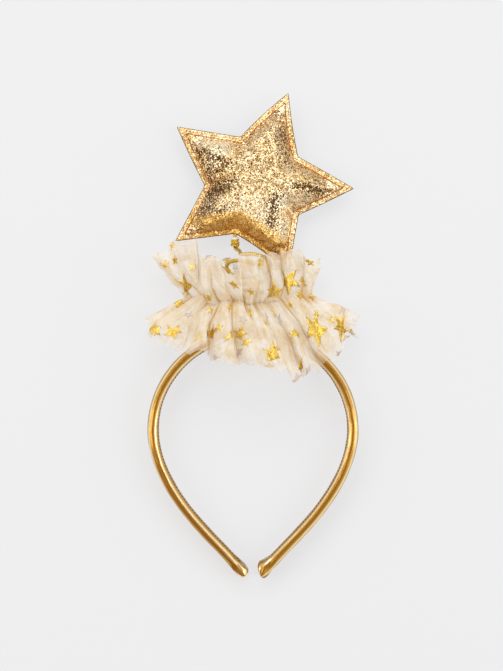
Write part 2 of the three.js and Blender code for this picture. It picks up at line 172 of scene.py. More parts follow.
def tube_mesh(name, rings, around_uv, along_uv):
    """Skins closed rings into a tube shut by a fan at both ends, with a UV map along and around."""
    rows, around = rings.shape[:2]
    points = [*rings.reshape(-1, 3), rings[0].mean(0), rings[-1].mean(0)]
    faces, corners = ring_faces(rows, around, (0, 1, 2, 3))
    uvs = [(along_uv[r], around_uv[i]) for r, i in corners]
    for i in range(around):
        n = (i + 1) % around
        last = (rows - 1) * around
        faces.append((i, n, rows * around))
        faces.append((last + n, last + i, rows * around + 1))
        uvs += [(along_uv[0], around_uv[i])] * 3 + [(along_uv[-1], around_uv[i])] * 3
    mesh = mesh_of(name, points, faces)
    mesh.uv_layers.new(name="flat").data.foreach_set("uv", np.ravel(uvs))
    mesh.shade_smooth()
    return mesh


half_line = [(x, y, 0) for x, y in BAND_HALF_LINE]
band_line, band_along = smooth_line([(-x, y, z) for x, y, z in half_line[:0:-1]] + half_line)
band_length = band_along[-1]
end_stations = BAND_END_ZONE * np.linspace(0, 1, BAND_END_STEPS) ** BAND_END_CLOSER
middle_stations = np.linspace(BAND_END_ZONE, band_length - BAND_END_ZONE, BAND_STEPS)[1:-1]
stations = np.concatenate([end_stations, middle_stations, band_length - end_stations[::-1]])


def band_frame(where):
    """Place, outward and forward directions of the band's middle line."""
    step = 0.4
    place = on_line(band_line, band_along, where)
    ahead = on_line(band_line, band_along, np.minimum(where + step, band_length))
    ahead = ahead - on_line(band_line, band_along, np.maximum(where - step, 0))
    ahead /= length_of(ahead)
    out = np.stack([-ahead[..., 1], ahead[..., 0], np.zeros_like(ahead[..., 0])], axis=-1)
    return place, out, ahead


def band_ring(where, turns, shrink=1.0, beyond=0.0):
    """The cover's section at one station; shrink and beyond tuck it in past an end."""
    place, out, ahead = band_frame(np.array([where]))
    left = where < band_length / 2
    end = LEFT_END if left else RIGHT_END
    before = where if left else band_length - where
    inner, outer = (np.interp(before, END_BEFORE, end[half]) for half in ("inner", "outer"))
    c, s = np.cos(turns), np.sin(turns)
    soft = 2 / BAND_POWER
    r = np.sign(c) * np.abs(c) ** soft * BAND_THICKNESS / 2
    r *= np.where(c > 0, outer, inner) * shrink
    z = np.sign(s) * np.abs(s) ** soft * BAND_WIDTH / 2
    z *= np.interp(before, *END_FLATTENED) * shrink
    near = 1 - smoothstep(before, END_FOLDS_FROM, BAND_END_ZONE)
    fold = END_FOLD_DEPTH * near * np.sin(5 * turns + end["twist"] * before + 1.1)
    fold += END_PUCKER_DEPTH * near * np.sin(9 * turns - 0.8 * before)
    for depth, along, around in COVER_WAVES:
        fold += depth * np.sin(along * where + around * turns)
    r += fold * c * shrink
    z += fold * s * shrink
    skew = (end["askew"] * r + end["run_on"]) * (1 - smoothstep(before, 0, END_ASKEW_REACH)) - beyond
    forward = -skew if left else skew
    return place + out * r[:, None] + ahead * forward[:, None] + np.array([0, 0, 1.0]) * z[:, None]


turns = 2 * np.pi * np.arange(BAND_AROUND) / BAND_AROUND
rings = [band_ring(0.0, turns, shrink, -out) for shrink, out in END_TUCKS[::-1]]
rings += [band_ring(where, turns) for where in stations]
rings += [band_ring(band_length, turns, shrink, -out) for shrink, out in END_TUCKS]
rings = np.array(rings)


def tilted(points):
    """The ruffle under the crown tilts the band a little."""
    x, y, z = np.moveaxis(np.asarray(points, float), -1, 0)
    c, s = math.cos(BAND_TILT), math.sin(BAND_TILT)
    return np.stack([x, y * c - z * s, y * s + z * c], axis=-1)


rings = tilted(rings)
BAND_LIFT = -rings[..., 2].min()
rings[..., 2] += BAND_LIFT
past_end = np.array([out for _, out in END_TUCKS])
ring_along = np.concatenate([-past_end[::-1] - 1, stations, band_length + past_end + 1]) * MM
band_mesh = tube_mesh(
    "hairband_cover", placed(rings), np.arange(BAND_AROUND + 1) / BAND_AROUND, ring_along,
)


class Finish:
    """One socket of a node tree. Arithmetic on it adds Math nodes; node() adds any other."""

    def __init__(self, tree, socket):
        self.tree = tree
        self.socket = socket

    def node(self, kind, settings=None, inputs=None, output=0):
        node = self.tree.nodes.new(kind)
        for key, value in (settings or {}).items():
            if key == "stops":
                ramp = node.color_ramp
                while len(ramp.elements) < len(value):
                    ramp.elements.new(1.0)
                for element, (place, colour) in zip(ramp.elements, value):
                    element.position = place
                    element.color = (*colour, 1.0)
            else:
                setattr(node, key, value)
        for key, value in (inputs or {}).items():
            if isinstance(value, Finish):
                self.tree.links.new(value.socket, node.inputs[key])
            else:
                node.inputs[key].default_value = value
        return Finish(self.tree, node.outputs[output])

    def then(self, kind, settings=None, **inputs):
        """Passes this into a geometry node's first input; an underscore in a name is a space."""
        named = {key.replace("_", " "): value for key, value in inputs.items()}
        return self.node("GeometryNode" + kind, settings, {0: self, **named})

    def carried(self, name, kind="FLOAT_VECTOR"):
        """What the points of a geometry carry under a name."""
        return self.node("GeometryNodeInputNamedAttribute", {"data_type": kind}, {"Name": name})

    def painted(self, name):
        """The share painted on a mesh under a name, for its shader."""
        return self.node("ShaderNodeAttribute", {"attribute_name": name}, output="Fac")

    def place(self, kind):
        return self.node("ShaderNodeTexCoord", output=kind)

    def axis(self, name):
        return self.node("ShaderNodeSeparateXYZ", {}, {"Vector": self}, name)

    def channel(self, name):
        return self.node("ShaderNodeSeparateColor", {}, {"Color": self}, name)

    def maths(self, operation, other=0.0):
        return self.node("ShaderNodeMath", {"operation": operation}, {0: self, 1: other})

    def vector(self, operation, *other, **named):
        inputs = {0: self, **dict(enumerate(other, 1)), **named}
        return self.node("ShaderNodeVectorMath", {"operation": operation}, inputs)

    def eased(self, low, high, start, end):
        """Goes smoothly from start to end while this goes from low to high."""
        inputs = {"Value": self, "From Min": low, "From Max": high, "To Min": start, "To Max": end}
        return self.node("ShaderNodeMapRange", {"interpolation_type": "SMOOTHSTEP"}, inputs)

    def mix(self, a, b):
        """Between two colours, by this value."""
        a, b = (c if isinstance(c, Finish) else (*c, 1.0) for c in (a, b))
        return self.node("ShaderNodeMix", {"data_type": "RGBA"}, {0: self, 6: a, 7: b}, 2)

    def ramp(self, stops):
        return self.node("ShaderNodeValToRGB", {"stops": stops}, {"Fac": self})

    def stretched(self, scale=(1, 1, 1), shift=(0, 0, 0)):
        return self.node("ShaderNodeMapping", {}, {"Vector": self, "Scale": scale, "Location": shift})

    def noise(self, scale, detail=2.0, roughness=0.5):
        inputs = {"Vector": self, "Scale": scale, "Detail": detail, "Roughness": roughness}
        return self.node("ShaderNodeTexNoise", {}, inputs, "Fac")

    def cells(self, scale, output="Distance"):
        return self.node("ShaderNodeTexVoronoi", {}, {"Vector": self, "Scale": scale}, output)

    def bump(self, strength, distance):
        inputs = {"Height": self, "Strength": strength, "Distance": distance}
        return self.node("ShaderNodeBump", {}, inputs)

    def __add__(self, other):
        return self.maths("ADD", other)

    def __sub__(self, other):
        return self.maths("SUBTRACT", other)

    def __rsub__(self, other):
        return self * -1 + other

    def __mul__(self, other):
        return self.maths("MULTIPLY", other)

    __radd__ = __add__


def new_finish(name, **fixed):
    """A material with its fixed values set; gives the material, its shader and a tree to add to."""
    material = bpy.data.materials.new(name)
    material.use_nodes = True
    shader = material.node_tree.nodes["Principled BSDF"]
    for socket, value in fixed.items():
        shader.inputs[socket.replace("_", " ").title().replace("Ior", "IOR")].default_value = value
    return material, shader, Finish(material.node_tree, None)


def feed(shader, **sockets):
    for socket, value in sockets.items():
        value.tree.links.new(value.socket, shader.inputs[socket.replace("_", " ").title()])


# The lame's base colour is painted with reflection stripes round its section: highlights, a dark reflection
# along the middle and painted shade lines towards both edges.
lame, shader, tree = new_finish(
    "gold_lame", coat_weight=0.3, coat_roughness=0.2, specular_ior_level=0.6,
)
flat = tree.place("UV")
inward = 1 - (flat.axis("Y") - 0.5).maths("ABSOLUTE") * 2
# Near the left end the painted reflection stripes are shifted round the band.
stripe_shift = flat.axis("X").eased(0.03, 0.11, 0.11, 0.0) * (1 - inward) * 2
pulls = flat.stretched((16, 7, 1)).noise(1.0, 3, 0.55)
fine = flat.stretched((260, 150, 1)).noise(1.0, 2, 0.5)
painted_reflection_stripes = (inward + stripe_shift + pulls * 0.16 + fine * 0.06 - 0.11).ramp([
    (0.0, BAND_EDGE_SHADE), (0.14, BAND_EDGE_SHADE), (0.185, BAND_SHADE_LINE), (0.225, BAND_GOLD), (0.285, BAND_HIGHLIGHT),
    (0.34, BAND_SOFT_HIGHLIGHT), (0.39, BAND_DARK_REFLECTION), (0.60, BAND_DARK_REFLECTION), (0.64, BAND_HIGHLIGHT),
    (0.68, BAND_HIGHLIGHT), (0.73, BAND_GOLD), (0.79, BAND_DARK_REFLECTION), (0.85, BAND_SHADE_LINE), (1.0, BAND_EDGE_SHADE),
])
feed(
    shader,
    base_color=painted_reflection_stripes,
    roughness=0.2 + fine * 0.14,
    metallic=0.88 + pulls * 0.12,
    normal=(fine * 0.5 + pulls * 0.5).bump(0.25, 0.0004),
)
band_mesh.materials.append(lame)
hairband = show("hairband_cover", band_mesh)
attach(hairband, "root")
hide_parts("hairband")

# Seam of the cover: small overcast stitches along the inside of the round, where the lame's two
# edges meet. The thread is a darker gold than the cloth.
SEAM_TURN = math.radians(152)
SEAM_PITCH = 1.75
SEAM_LENGTH = 1.5
SEAM_THREAD = 0.34
SEAM_SLANT = math.radians(32)
SEAM_CLEAR_OF_END = 7.0
SEAM_STEP = 1.2
SEAM_RISE = 0.06
SEAM_FACING = 0.5


def new_tree(name, **sizes):
    """A geometry tree with named inputs; gives the tree, its inputs by name and its output node."""
    tree = bpy.data.node_groups.new(name, "GeometryNodeTree")
    tree.interface.new_socket("Geometry", in_out="INPUT", socket_type="NodeSocketGeometry")
    tree.interface.new_socket("Geometry", in_out="OUTPUT", socket_type="NodeSocketGeometry")
    for size, kind in sizes.items():
        tree.interface.new_socket(size, in_out="INPUT", socket_type="NodeSocket" + kind)
    entry = tree.nodes.new("NodeGroupInput")
    given = {s.name: Finish(tree, s) for s in entry.outputs if s.name}
    return tree, given, tree.nodes.new("NodeGroupOutput")


def end_tree(geometry, finish, leave):
    """Realizes what the tree has made and gives it its material."""
    done = geometry.then("RealizeInstances").then("SetMaterial", Material=finish)
    done.tree.links.new(done.socket, leave.inputs[0])


def grown(name, base, tree, **values):
    """Runs a geometry tree on a base mesh and shows the plain mesh that it makes."""
    carrier = show(name + "_base", base)
    modifier = carrier.modifiers.new("grow", "NODES")
    modifier.node_group = tree
    for item in tree.interface.items_tree:
        if item.in_out == "INPUT" and item.name in values:
            modifier[item.identifier] = values[item.name]
    carrier.update_tag()
    depsgraph = bpy.context.evaluated_depsgraph_get()
    made = carrier.evaluated_get(depsgraph)
    mesh = bpy.data.meshes.new_from_object(made, preserve_all_data_layers=True, depsgraph=depsgraph)
    mesh.name = name
    bpy.data.objects.remove(carrier)
    return show(name, mesh)


def paint(mesh, **painted):
    """Gives each point of a mesh a share or a vector under a name."""
    for name, values in painted.items():
        values = np.asarray(values, np.float32)
        kind, part = ("FLOAT", "value") if values.ndim == 1 else ("FLOAT_VECTOR", "vector")
        mesh.attributes.new(name, kind, "POINT").data.foreach_set(part, values.ravel())


def line_mesh(name, points, closed=False, **vectors):
    """A line of points as a mesh of edges, with the given vectors on its points."""
    count = len(points)
    edges = [(i, (i + 1) % count) for i in range(count if closed else count - 1)]
    mesh = mesh_of(name, points, [], edges)
    paint(mesh, **vectors)
    return mesh


def mottled(name, first, second, grain, relief, **fixed):
    """A material of two colours mixed by a noise that also roughens its surface."""
    material, shader, tree = new_finish(name, **fixed)
    share = tree.place("Object").noise(*grain)
    feed(shader, base_color=share.mix(first, second), normal=share.bump(*relief))
    return material


stitch_tree, given, leave = new_tree(
    "stitch_row", Pitch="Float", Length="Float", Thread="Float", Slant="Float", Finish="Material",
)
row = given["Geometry"].then("MeshToCurve")
row = row.then("ResampleCurve", {"mode": "LENGTH"}, Length=given["Pitch"])
lie = row.node(
    "FunctionNodeAxesToRotation", {"primary_axis": "X", "secondary_axis": "Z"},
    {"Primary Axis": row.node("GeometryNodeInputTangent"), "Secondary Axis": row.carried("facing")},
)
slant = row.node("FunctionNodeAxisAngleToRotation", {}, {"Axis": (0, 0, 1), "Angle": given["Slant"]})
lie = row.node(
    "FunctionNodeRotateRotation", {"rotation_space": "LOCAL"}, {"Rotation": lie, "Rotate By": slant},
)
size = row.node(
    "ShaderNodeCombineXYZ", {}, {"X": given["Length"], "Y": given["Thread"], "Z": given["Thread"]},
)
stitch = row.node("GeometryNodeMeshIcoSphere", {}, {"Radius": 0.5, "Subdivisions": 2})
stitches = row.then(
    "InstanceOnPoints", Instance=stitch.then("SetShadeSmooth"), Rotation=lie, Scale=size,
)
end_tree(stitches, given["Finish"], leave)

seam_thread = mottled(
    "seam_thread", (0.10, 0.045, 0.012), (0.26, 0.13, 0.035), (2600, 2), (0.4, 0.0002),
    roughness=0.55, specular_ior_level=0.3,
)
seam_stations = np.arange(SEAM_CLEAR_OF_END, band_length - SEAM_CLEAR_OF_END, SEAM_STEP)
seam_turn = np.array([SEAM_TURN])
seam_points = np.array([band_ring(where, seam_turn)[0] for where in seam_stations])
seam_out = -band_frame(seam_stations)[1] * math.cos(SEAM_FACING)
seam_out += np.array([0, 0, math.sin(SEAM_FACING)])
seam_points = tilted(seam_points + SEAM_RISE * seam_out) + np.array([0, 0, BAND_LIFT])
seam_base = line_mesh("seam_line", placed(seam_points), facing=tilted(seam_out))
band_seam = grown(
    "hairband_seam", seam_base, stitch_tree, Pitch=SEAM_PITCH * MM, Length=SEAM_LENGTH * MM,
    Thread=SEAM_THREAD * MM, Slant=SEAM_SLANT, Finish=seam_thread,
)
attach(band_seam, "root")

# Spring: one gold wire hooked over the crown, wound into an open coil inside the ruffle and led up
# to the star as a stem. Its gold is worn, with faint ridges along the wire.
WIRE_RADIUS = 0.95
COIL = {"radius": 8.9, "x": -3.4, "z": 11.5}
COIL_START_Y = 2.9
COIL_OPEN_TURNS = 3.25
COIL_OPEN_PITCH = 6.9
# The last turn is wider than the others and leans towards the star.
COIL_END = {"radius": 11.2, "x": -2.2, "z": 12.9}
COIL_END_RISE = 3.3
COIL_END_TURNS = 0.8
COIL_END_PITCH = 0.8
COIL_END_LEAN = math.radians(30)
COIL_LEAN_TURNS = 0.9
COIL_POINTS = 65
HOOK_X = -0.4
HOOK_CLEAR = {"inside": 0.4, "over": 0.3}
STAR_MIDDLE = np.array([1.9, 70.6, 8.2])
NOTCH_TURN = math.radians(-113.6)
NOTCH_REACH = 27.6
STEM_STRAIGHT = 6.8
STEM_INSIDE = 4.0
WIRE_STEPS = 900
WIRE_SIDES = 12
WIRE_RIDGE_PITCH = 1.1
WIRE_GOLD = (0.95, 0.70, 0.10)
WIRE_DARK = (0.42, 0.25, 0.02)

notch = STAR_MIDDLE + NOTCH_REACH * np.array([math.cos(NOTCH_TURN), math.sin(NOTCH_TURN), 0])
hook_y = CROWN_Y - BAND_THICKNESS / 2 - HOOK_CLEAR["inside"] - WIRE_RADIUS
over_top = BAND_LIFT + BAND_WIDTH / 2 + HOOK_CLEAR["over"] + WIRE_RADIUS
wire_points = [
    (HOOK_X, hook_y, BAND_LIFT - 3), (HOOK_X, hook_y, BAND_LIFT), (HOOK_X, hook_y, over_top - 1.6),
    (HOOK_X, hook_y + 1.6, over_top + 1.2), (HOOK_X - 0.4, hook_y + 4.6, over_top + 2.6),
]
for i in range(1, COIL_POINTS + 1):
    turned = (COIL_OPEN_TURNS + COIL_END_TURNS) * i / COIL_POINTS
    open_turns = min(turned, COIL_OPEN_TURNS)
    leaning = float(smoothstep(turned, COIL_OPEN_TURNS - COIL_LEAN_TURNS, COIL_OPEN_TURNS))
    radius, x, z = (between(COIL[key], COIL_END[key], leaning) for key in ("radius", "x", "z"))
    y = COIL_START_Y + open_turns * COIL_OPEN_PITCH + (turned - open_turns) * COIL_END_PITCH
    y += COIL_END_RISE * leaning
    lean = COIL_END_LEAN * leaning
    turn = math.pi / 2 + 2 * math.pi * turned
    up = radius * math.sin(turn)
    wire_points.append((x + radius * math.cos(turn), y + up * math.sin(lean), z + up * math.cos(lean)))
stem_foot = notch + np.array([0.1, -STEM_STRAIGHT, 0])
wire_points.append(between(np.array(wire_points[-1]), stem_foot, 0.5) + np.array([0.5, 0, 0]))
wire_points += [stem_foot, between(notch, stem_foot, 0.5), notch, notch + np.array([0, STEM_INSIDE, 0])]
wire_line, wire_along = smooth_line(wire_points)
wire_line = on_line(wire_line, wire_along, np.linspace(0, wire_along[-1], WIRE_STEPS))

wire_tree, given, leave = new_tree("bent_wire", Radius="Float", Sides="Int", Finish="Material")
bend = given["Geometry"].then("MeshToCurve")
run = bend.node("GeometryNodeSplineParameter", output="Length")
bend = bend.then("StoreNamedAttribute", {"data_type": "FLOAT", "domain": "POINT"}, Name="along", Value=run)
section = bend.node(
    "GeometryNodeCurvePrimitiveCircle", {"mode": "RADIUS"},
    {"Resolution": given["Sides"], "Radius": given["Radius"]},
)
drawn = bend.then("CurveToMesh", Profile_Curve=section, Fill_Caps=True).then("SetShadeSmooth")
end_tree(drawn, given["Finish"], leave)

wire_gold, shader, tree = new_finish("gold_wire", coat_weight=0.2, coat_roughness=0.2)
# The ridges are bumps, and their hollows are also painted darker in the base colour as painted shade.
ridges_and_groove_shade = (tree.painted("along") * (2 * math.pi / (WIRE_RIDGE_PITCH * MM))).maths("SINE")
wear_and_light_marks = tree.place("Object").noise(700, 3)
feed(
    shader,
    base_color=(wear_and_light_marks * 0.8 + ridges_and_groove_shade * 0.16 + 0.05).mix(WIRE_DARK, WIRE_GOLD),
    roughness=0.26 + wear_and_light_marks * 0.2,
    metallic=0.9 + wear_and_light_marks * 0.1,
    normal=(ridges_and_groove_shade * 0.5 + wear_and_light_marks).bump(0.5, 0.0003),
)
wire = grown(
    "spring_wire_bend", line_mesh("wire_line", placed(wire_line)), wire_tree,
    Radius=WIRE_RADIUS * MM, Sides=WIRE_SIDES, Finish=wire_gold,
)
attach(wire, "root")
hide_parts("spring_wire")

# Collar: a finer gold wire wrapped a few times round the stem, close under the star. It is wound by
# hand, so its turns are uneven.
COLLAR_TURNS = 4.3
COLLAR_PITCH = 0.80
COLLAR_RADIUS = 1.6
COLLAR_WIRE = 0.55
COLLAR_POINTS = 150
COLLAR_SIDES = 10
collar_middle = sum(np.array(corner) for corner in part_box("stem_collar")) / 2
collar_turns = np.linspace(-0.5, 0.5, COLLAR_POINTS) * COLLAR_TURNS
collar_reach = 1 + 0.16 * np.sin(4.1 * collar_turns + 1) + 0.08 * np.sin(11 * collar_turns)
collar_reach *= COLLAR_RADIUS
collar_line = np.stack([
    collar_reach * np.cos(2 * np.pi * collar_turns),
    COLLAR_PITCH * (collar_turns + 0.25 * np.sin(7 * collar_turns)),
    collar_reach * np.sin(2 * np.pi * collar_turns),
], axis=-1) * MM + collar_middle
collar = grown(
    "stem_wraps", line_mesh("collar_line", collar_line), wire_tree,
    Radius=COLLAR_WIRE * MM, Sides=COLLAR_SIDES, Finish=wire_gold,
)
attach(collar, "root")
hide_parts("stem_collar")

# Glue: a whitish dab that has set round the stem between the collar and the star's seam. It is
# lumpy and a little cloudy.
GLUE_SIDES = 28
GLUE_ROWS = 15
GLUE_THIN = 0.05
GLUE_SWELL = 0.8
GLUE_HALF = 0.95
GLUE_LENGTH = 3.0
GLUE_PALE = (0.93, 0.90, 0.84)
GLUE_GREY = (0.66, 0.63, 0.62)
set_glue = mottled(
    "set_glue", GLUE_PALE, GLUE_GREY, (900, 3), (0.3, 0.0004),
    roughness=0.3, coat_weight=0.4, coat_roughness=0.15, specular_ior_level=0.5,
)
glue_middle = sum(np.array(corner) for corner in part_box("glue_dab")) / 2
glue_turns = 2 * np.pi * np.arange(GLUE_SIDES) / GLUE_SIDES
glue_rings = []
for share in np.linspace(1, -1, GLUE_ROWS):
    swell = GLUE_SWELL * math.sqrt(max(1 - share * share, 0.0))
    lumps = 1 + 0.16 * np.sin(2 * glue_turns + 1.3 + share) + 0.09 * np.sin(5 * glue_turns - 2 * share)
    reach = WIRE_RADIUS + GLUE_THIN + swell * lumps
    ring = [reach * np.cos(glue_turns), np.full(GLUE_SIDES, share * GLUE_HALF), reach * np.sin(glue_turns)]
    glue_rings.append(np.stack(ring, axis=-1) * MM + glue_middle)
glue_mesh = tube_mesh(
    "glue_blob", np.array(glue_rings), np.arange(GLUE_SIDES + 1) / GLUE_SIDES,
    np.linspace(0, GLUE_LENGTH * MM, GLUE_ROWS),
)
glue_mesh.materials.append(set_glue)
glue = show("glue_blob", glue_mesh)
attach(glue, "root")
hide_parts("glue_dab")

# Star: two panels of cracked glitter cloth laid back to back, sewn together inside a flat flange and
# stuffed. The raw edge round the flange is coloured dark brown.
STAR_CORNERS = [
    # turn in degrees, reach from the middle and how far the next side bows out
    (70.8, 49.8, -0.5), (33.9, 25.6, 0.2), (-2.4, 50.0, 0.2), (-35.9, 26.6, -0.2),
    (-70.0, 48.6, -1.1), (-113.6, 27.6, 0.0), (-145.2, 51.0, 0.0), (-178.8, 26.7, 0.3),
    (-215.9, 50.7, 0.0), (-251.1, 25.8, 0.7),
]
STAR_SIDES = len(STAR_CORNERS)
STEM_NOTCH = 5
STAR_FLANGE = 2.9
FLANGE_HALF = 0.55
EDGE_BEVEL = 0.34
PUFF_FRONT = 9.5
PUFF_BACK = 8.6
# How far in from the seam each side's slope runs before the stuffing levels off.
SLOPE_REACH = [15.0, 13.0, 15.0, 14.0, 9.5, 9.0, 19.0, 20.0, 16.0, 14.0]
SLOPE_POWER = 1.9
RIDGE_SHARPNESS = 9.0
TIP_SLACK = 0.35
TIP_SLACK_REACH = (7.0, 12.5)
STEM_COVER = 0.75
STEM_COVER_REACH = 4.0
PANEL_STEP = 1.3
PANEL_ROW = 0.866
RIM_CLEAR = 0.55
SEAM_CLEAR = 0.5
EDGE_DROP = 0.2
STAR_FLOOR = 0.05
# The stuffing is blown up at ten times the size, where the cloth solver is steady.
SIM_SCALE = 10.0
SIM_FRAMES = 20
SIM_CAP = 1.8
SIM_TOP = 1.0
SIM_CLOTH = {
    "vertex_group_mass": "sewn", "quality": 6, "mass": 0.12, "tension_stiffness": 12,
    "compression_stiffness": 6, "shear_stiffness": 4, "bending_stiffness": 0.25, "air_damping": 4,
    "shrink_min": -0.07, "use_pressure": True, "uniform_pressure_force": 4.0,
}
# Creases of the front panel: from x, y to x, y, depth and half width.
STAR_CREASES = [
    (-29.2, 88.7, -12.8, 80.5, 0.8, 1.7), (12.3, 67.5, 7.4, 46.5, 1.1, 1.9),
    (21.0, 69.0, 38.4, 66.4, 0.8, 1.6), (10.8, 106.8, 19.0, 105.4, 0.7, 1.0),
    (-24.0, 66.0, -12.0, 69.5, 0.7, 2.4), (-25.0, 49.0, -14.0, 57.0, 0.5, 2.0),
]
# How strongly painted shade darkens the glitter along each crease.
CREASE_SHADE = 0.8
# Painted shade: patches where more glitter grains are painted dark, where shade falls on the star's slopes:
# x, y, spread and share.
STAR_SHADE_PATCHES = [
    (-25.0, 66.0, 9.0, 0.8), (-26.0, 54.0, 8.0, 0.8), (-23.0, 80.0, 8.0, 0.5), (15.5, 95.0, 5.0, 0.8),
    (16.5, 84.0, 5.0, 0.7), (11.0, 60.0, 4.5, 0.6), (10.0, 50.0, 5.0, 0.7), (30.0, 68.5, 5.0, 0.6),
    (-5.0, 96.0, 6.0, 0.2), (-12.0, 75.0, 8.0, 0.2),
]
# Painted highlights: patches where the glitter's colour is painted pale and bright: x, y, spread and share.
STAR_HIGHLIGHTS = [
    (16.4, 62.5, 5.0, 1.0), (4.0, 58.0, 8.0, 0.6), (14.0, 48.0, 5.0, 0.6), (-17.0, 88.5, 6.0, 0.9),
    (-26.0, 92.5, 4.0, 0.8), (17.0, 109.5, 3.5, 1.0), (40.0, 69.0, 4.0, 0.8), (-12.0, 60.0, 8.0, 0.4),
]
# Painted warm shade on the lower edges' slope, reaching this far in from the seam.
LOWER_SHADE_REACH = 9.5
LOWER_SHADE_FADE = 2.5
LOWER_SHADE_CLEAR_OF_TIP = (3, 12)


def star_outline(step, inset=0.0):
    """The cut edge or a line inset from it: sides between the corners, bowed a little."""
    corners = np.array([
        STAR_MIDDLE[:2] + reach * np.array([math.cos(math.radians(t)), math.sin(math.radians(t))])
        for t, reach, _ in STAR_CORNERS
    ])
    sides = np.roll(corners, -1, axis=0) - corners
    lengths = length_of(sides)
    sides /= lengths
    before = np.roll(sides, 1, axis=0)
    inward = np.stack([before[:, 1] + sides[:, 1], -(before[:, 0] + sides[:, 0])], axis=1)
    inward /= length_of(inward)
    lean = np.sqrt((1 + np.sum(before * sides, axis=1)) / 2)
    corners = corners + inward * (inset / lean)[:, None]
    line = []
    for i, (_, _, bow) in enumerate(STAR_CORNERS):
        side = corners[(i + 1) % STAR_SIDES] - corners[i]
        count = round(float(lengths[i, 0]) / step)
        share = np.arange(count)[:, None] / count
        out = np.array([-side[1], side[0]]) / length_of(side)
        line.append(corners[i] + side * share + out * bow * 4 * share * (1 - share))
    return line, corners


def distance_to(line, points, closed=True):
    """How far each point lies from a line."""
    ends = np.roll(line, -1, axis=0)
    a, b = (line, ends) if closed else (line[:-1], ends[:-1])
    side = (b - a)[None]
    offset = points[:, None] - a[None]
    share = np.clip(np.sum(offset * side, -1) / np.sum(side * side, -1), 0, 1)
    return length_of(offset - side * share[..., None])[..., 0].min(axis=1)


def inside_line(line, points):
    """Which points a closed line goes round."""
    x, y = points[:, 0][:, None], points[:, 1][:, None]
    ax, ay = line[:, 0][None], line[:, 1][None]
    bx, by = np.roll(line[:, 0], -1)[None], np.roll(line[:, 1], -1)[None]
    crosses = (ay > y) != (by > y)
    with np.errstate(divide="ignore", invalid="ignore"):
        at = ax + (y - ay) / (by - ay) * (bx - ax)
    return (crosses & (x < at)).sum(axis=1) % 2 == 1


def over_stem(points):
    """How far the panels stand off at the notch, where the stem goes in between them."""
    away = np.sum((points - star_tips[STEM_NOTCH]) ** 2, axis=1)
    return STEM_COVER * np.exp(-away / STEM_COVER_REACH ** 2)


def in_crease(ends, spread, points):
    """How deep in a crease each point lies, 1 on its line."""
    away = distance_to(np.reshape(ends, (2, 2)), points[:, :2], closed=False)
    return np.exp(-((away / spread) ** 2))


outline_sides, star_tips = star_outline(PANEL_STEP)
outline = np.vstack(outline_sides)
rim = np.vstack(star_outline(PANEL_STEP, EDGE_BEVEL)[0])
seam_sides, seam_corners = star_outline(PANEL_STEP, STAR_FLANGE)
seam = np.vstack(seam_sides)
low, high = outline.min(0), outline.max(0)
grid = np.stack(np.meshgrid(
    np.arange(low[0], high[0], PANEL_STEP), np.arange(low[1], high[1], PANEL_STEP * PANEL_ROW),
), axis=-1)
grid[1::2, :, 0] += PANEL_STEP / 2
grid = grid.reshape(-1, 2)
grid = grid[inside_line(rim, grid)]
grid = grid[distance_to(rim, grid) > RIM_CLEAR * PANEL_STEP]
grid = grid[distance_to(seam, grid) > SEAM_CLEAR * PANEL_STEP]
flat_points = [Vector(p) for p in [*rim, *seam, *grid]]
count = len(rim)
sewn = len(seam)
edges = [(i, (i + 1) % count) for i in range(count)]
edges += [(count + i, count + (i + 1) % sewn) for i in range(sewn)]
panel, _, panel_faces, origins, _, _ = delaunay_2d_cdt(flat_points, edges, [list(range(count))], 1, 1e-6)
panel = np.array([tuple(p) for p in panel])
origin = np.array([o[0] if o else -1 for o in origins])
rim_index = np.array([int(np.where(origin == i)[0][0]) for i in range(count)])

in_seam = inside_line(seam, panel) & (distance_to(seam, panel) > 0.05)
slopes = []
for i, slope in enumerate(SLOPE_REACH):
    ends = np.vstack([seam_sides[i], seam_corners[(i + 1) % STAR_SIDES]])
    inside = np.minimum(distance_to(ends, panel, closed=False) / slope, 1)
    slopes.append(1 - (1 - inside) ** SLOPE_POWER)
swell = np.sum(np.maximum(np.array(slopes), 1e-3) ** -RIDGE_SHARPNESS, axis=0) ** (-1 / RIDGE_SHARPNESS)
for tip in seam_corners[::2]:
    near_tip = length_of(panel - tip)[:, 0]
    swell *= between(TIP_SLACK, 1, smoothstep(near_tip, *TIP_SLACK_REACH))
swell = np.where(in_seam, swell, 0)
swell /= swell.max()
panels = []
for facing, puff in ((1, PUFF_FRONT), (-1, PUFF_BACK)):
    rise = FLANGE_HALF + over_stem(panel) + (puff - FLANGE_HALF) * swell
    z = STAR_MIDDLE[2] + facing * rise
    panels.append(np.column_stack([panel, z]))
edge_ring = np.column_stack([outline, np.full(count, STAR_MIDDLE[2] - FLANGE_HALF * EDGE_DROP)])
star_points = np.vstack([*panels, edge_ring])
half = len(panel)
star_faces = []
for face in panel_faces:
    a, b, c = (panel[i] for i in face)
    left_turn = (b[0] - a[0]) * (c[1] - a[1]) - (b[1] - a[1]) * (c[0] - a[0]) > 0
    front = tuple(face) if left_turn else tuple(face[::-1])
    star_faces.append(front)
    star_faces.append(tuple(half + i for i in front[::-1]))
cloth_faces = len(star_faces)
for i in range(count):
    n = (i + 1) % count
    star_faces.append((rim_index[i], rim_index[n], 2 * half + n, 2 * half + i))
    star_faces.append((2 * half + i, 2 * half + n, half + rim_index[n], half + rim_index[i]))
star_points[:, 2] = np.maximum(star_points[:, 2], STAR_FLOOR)

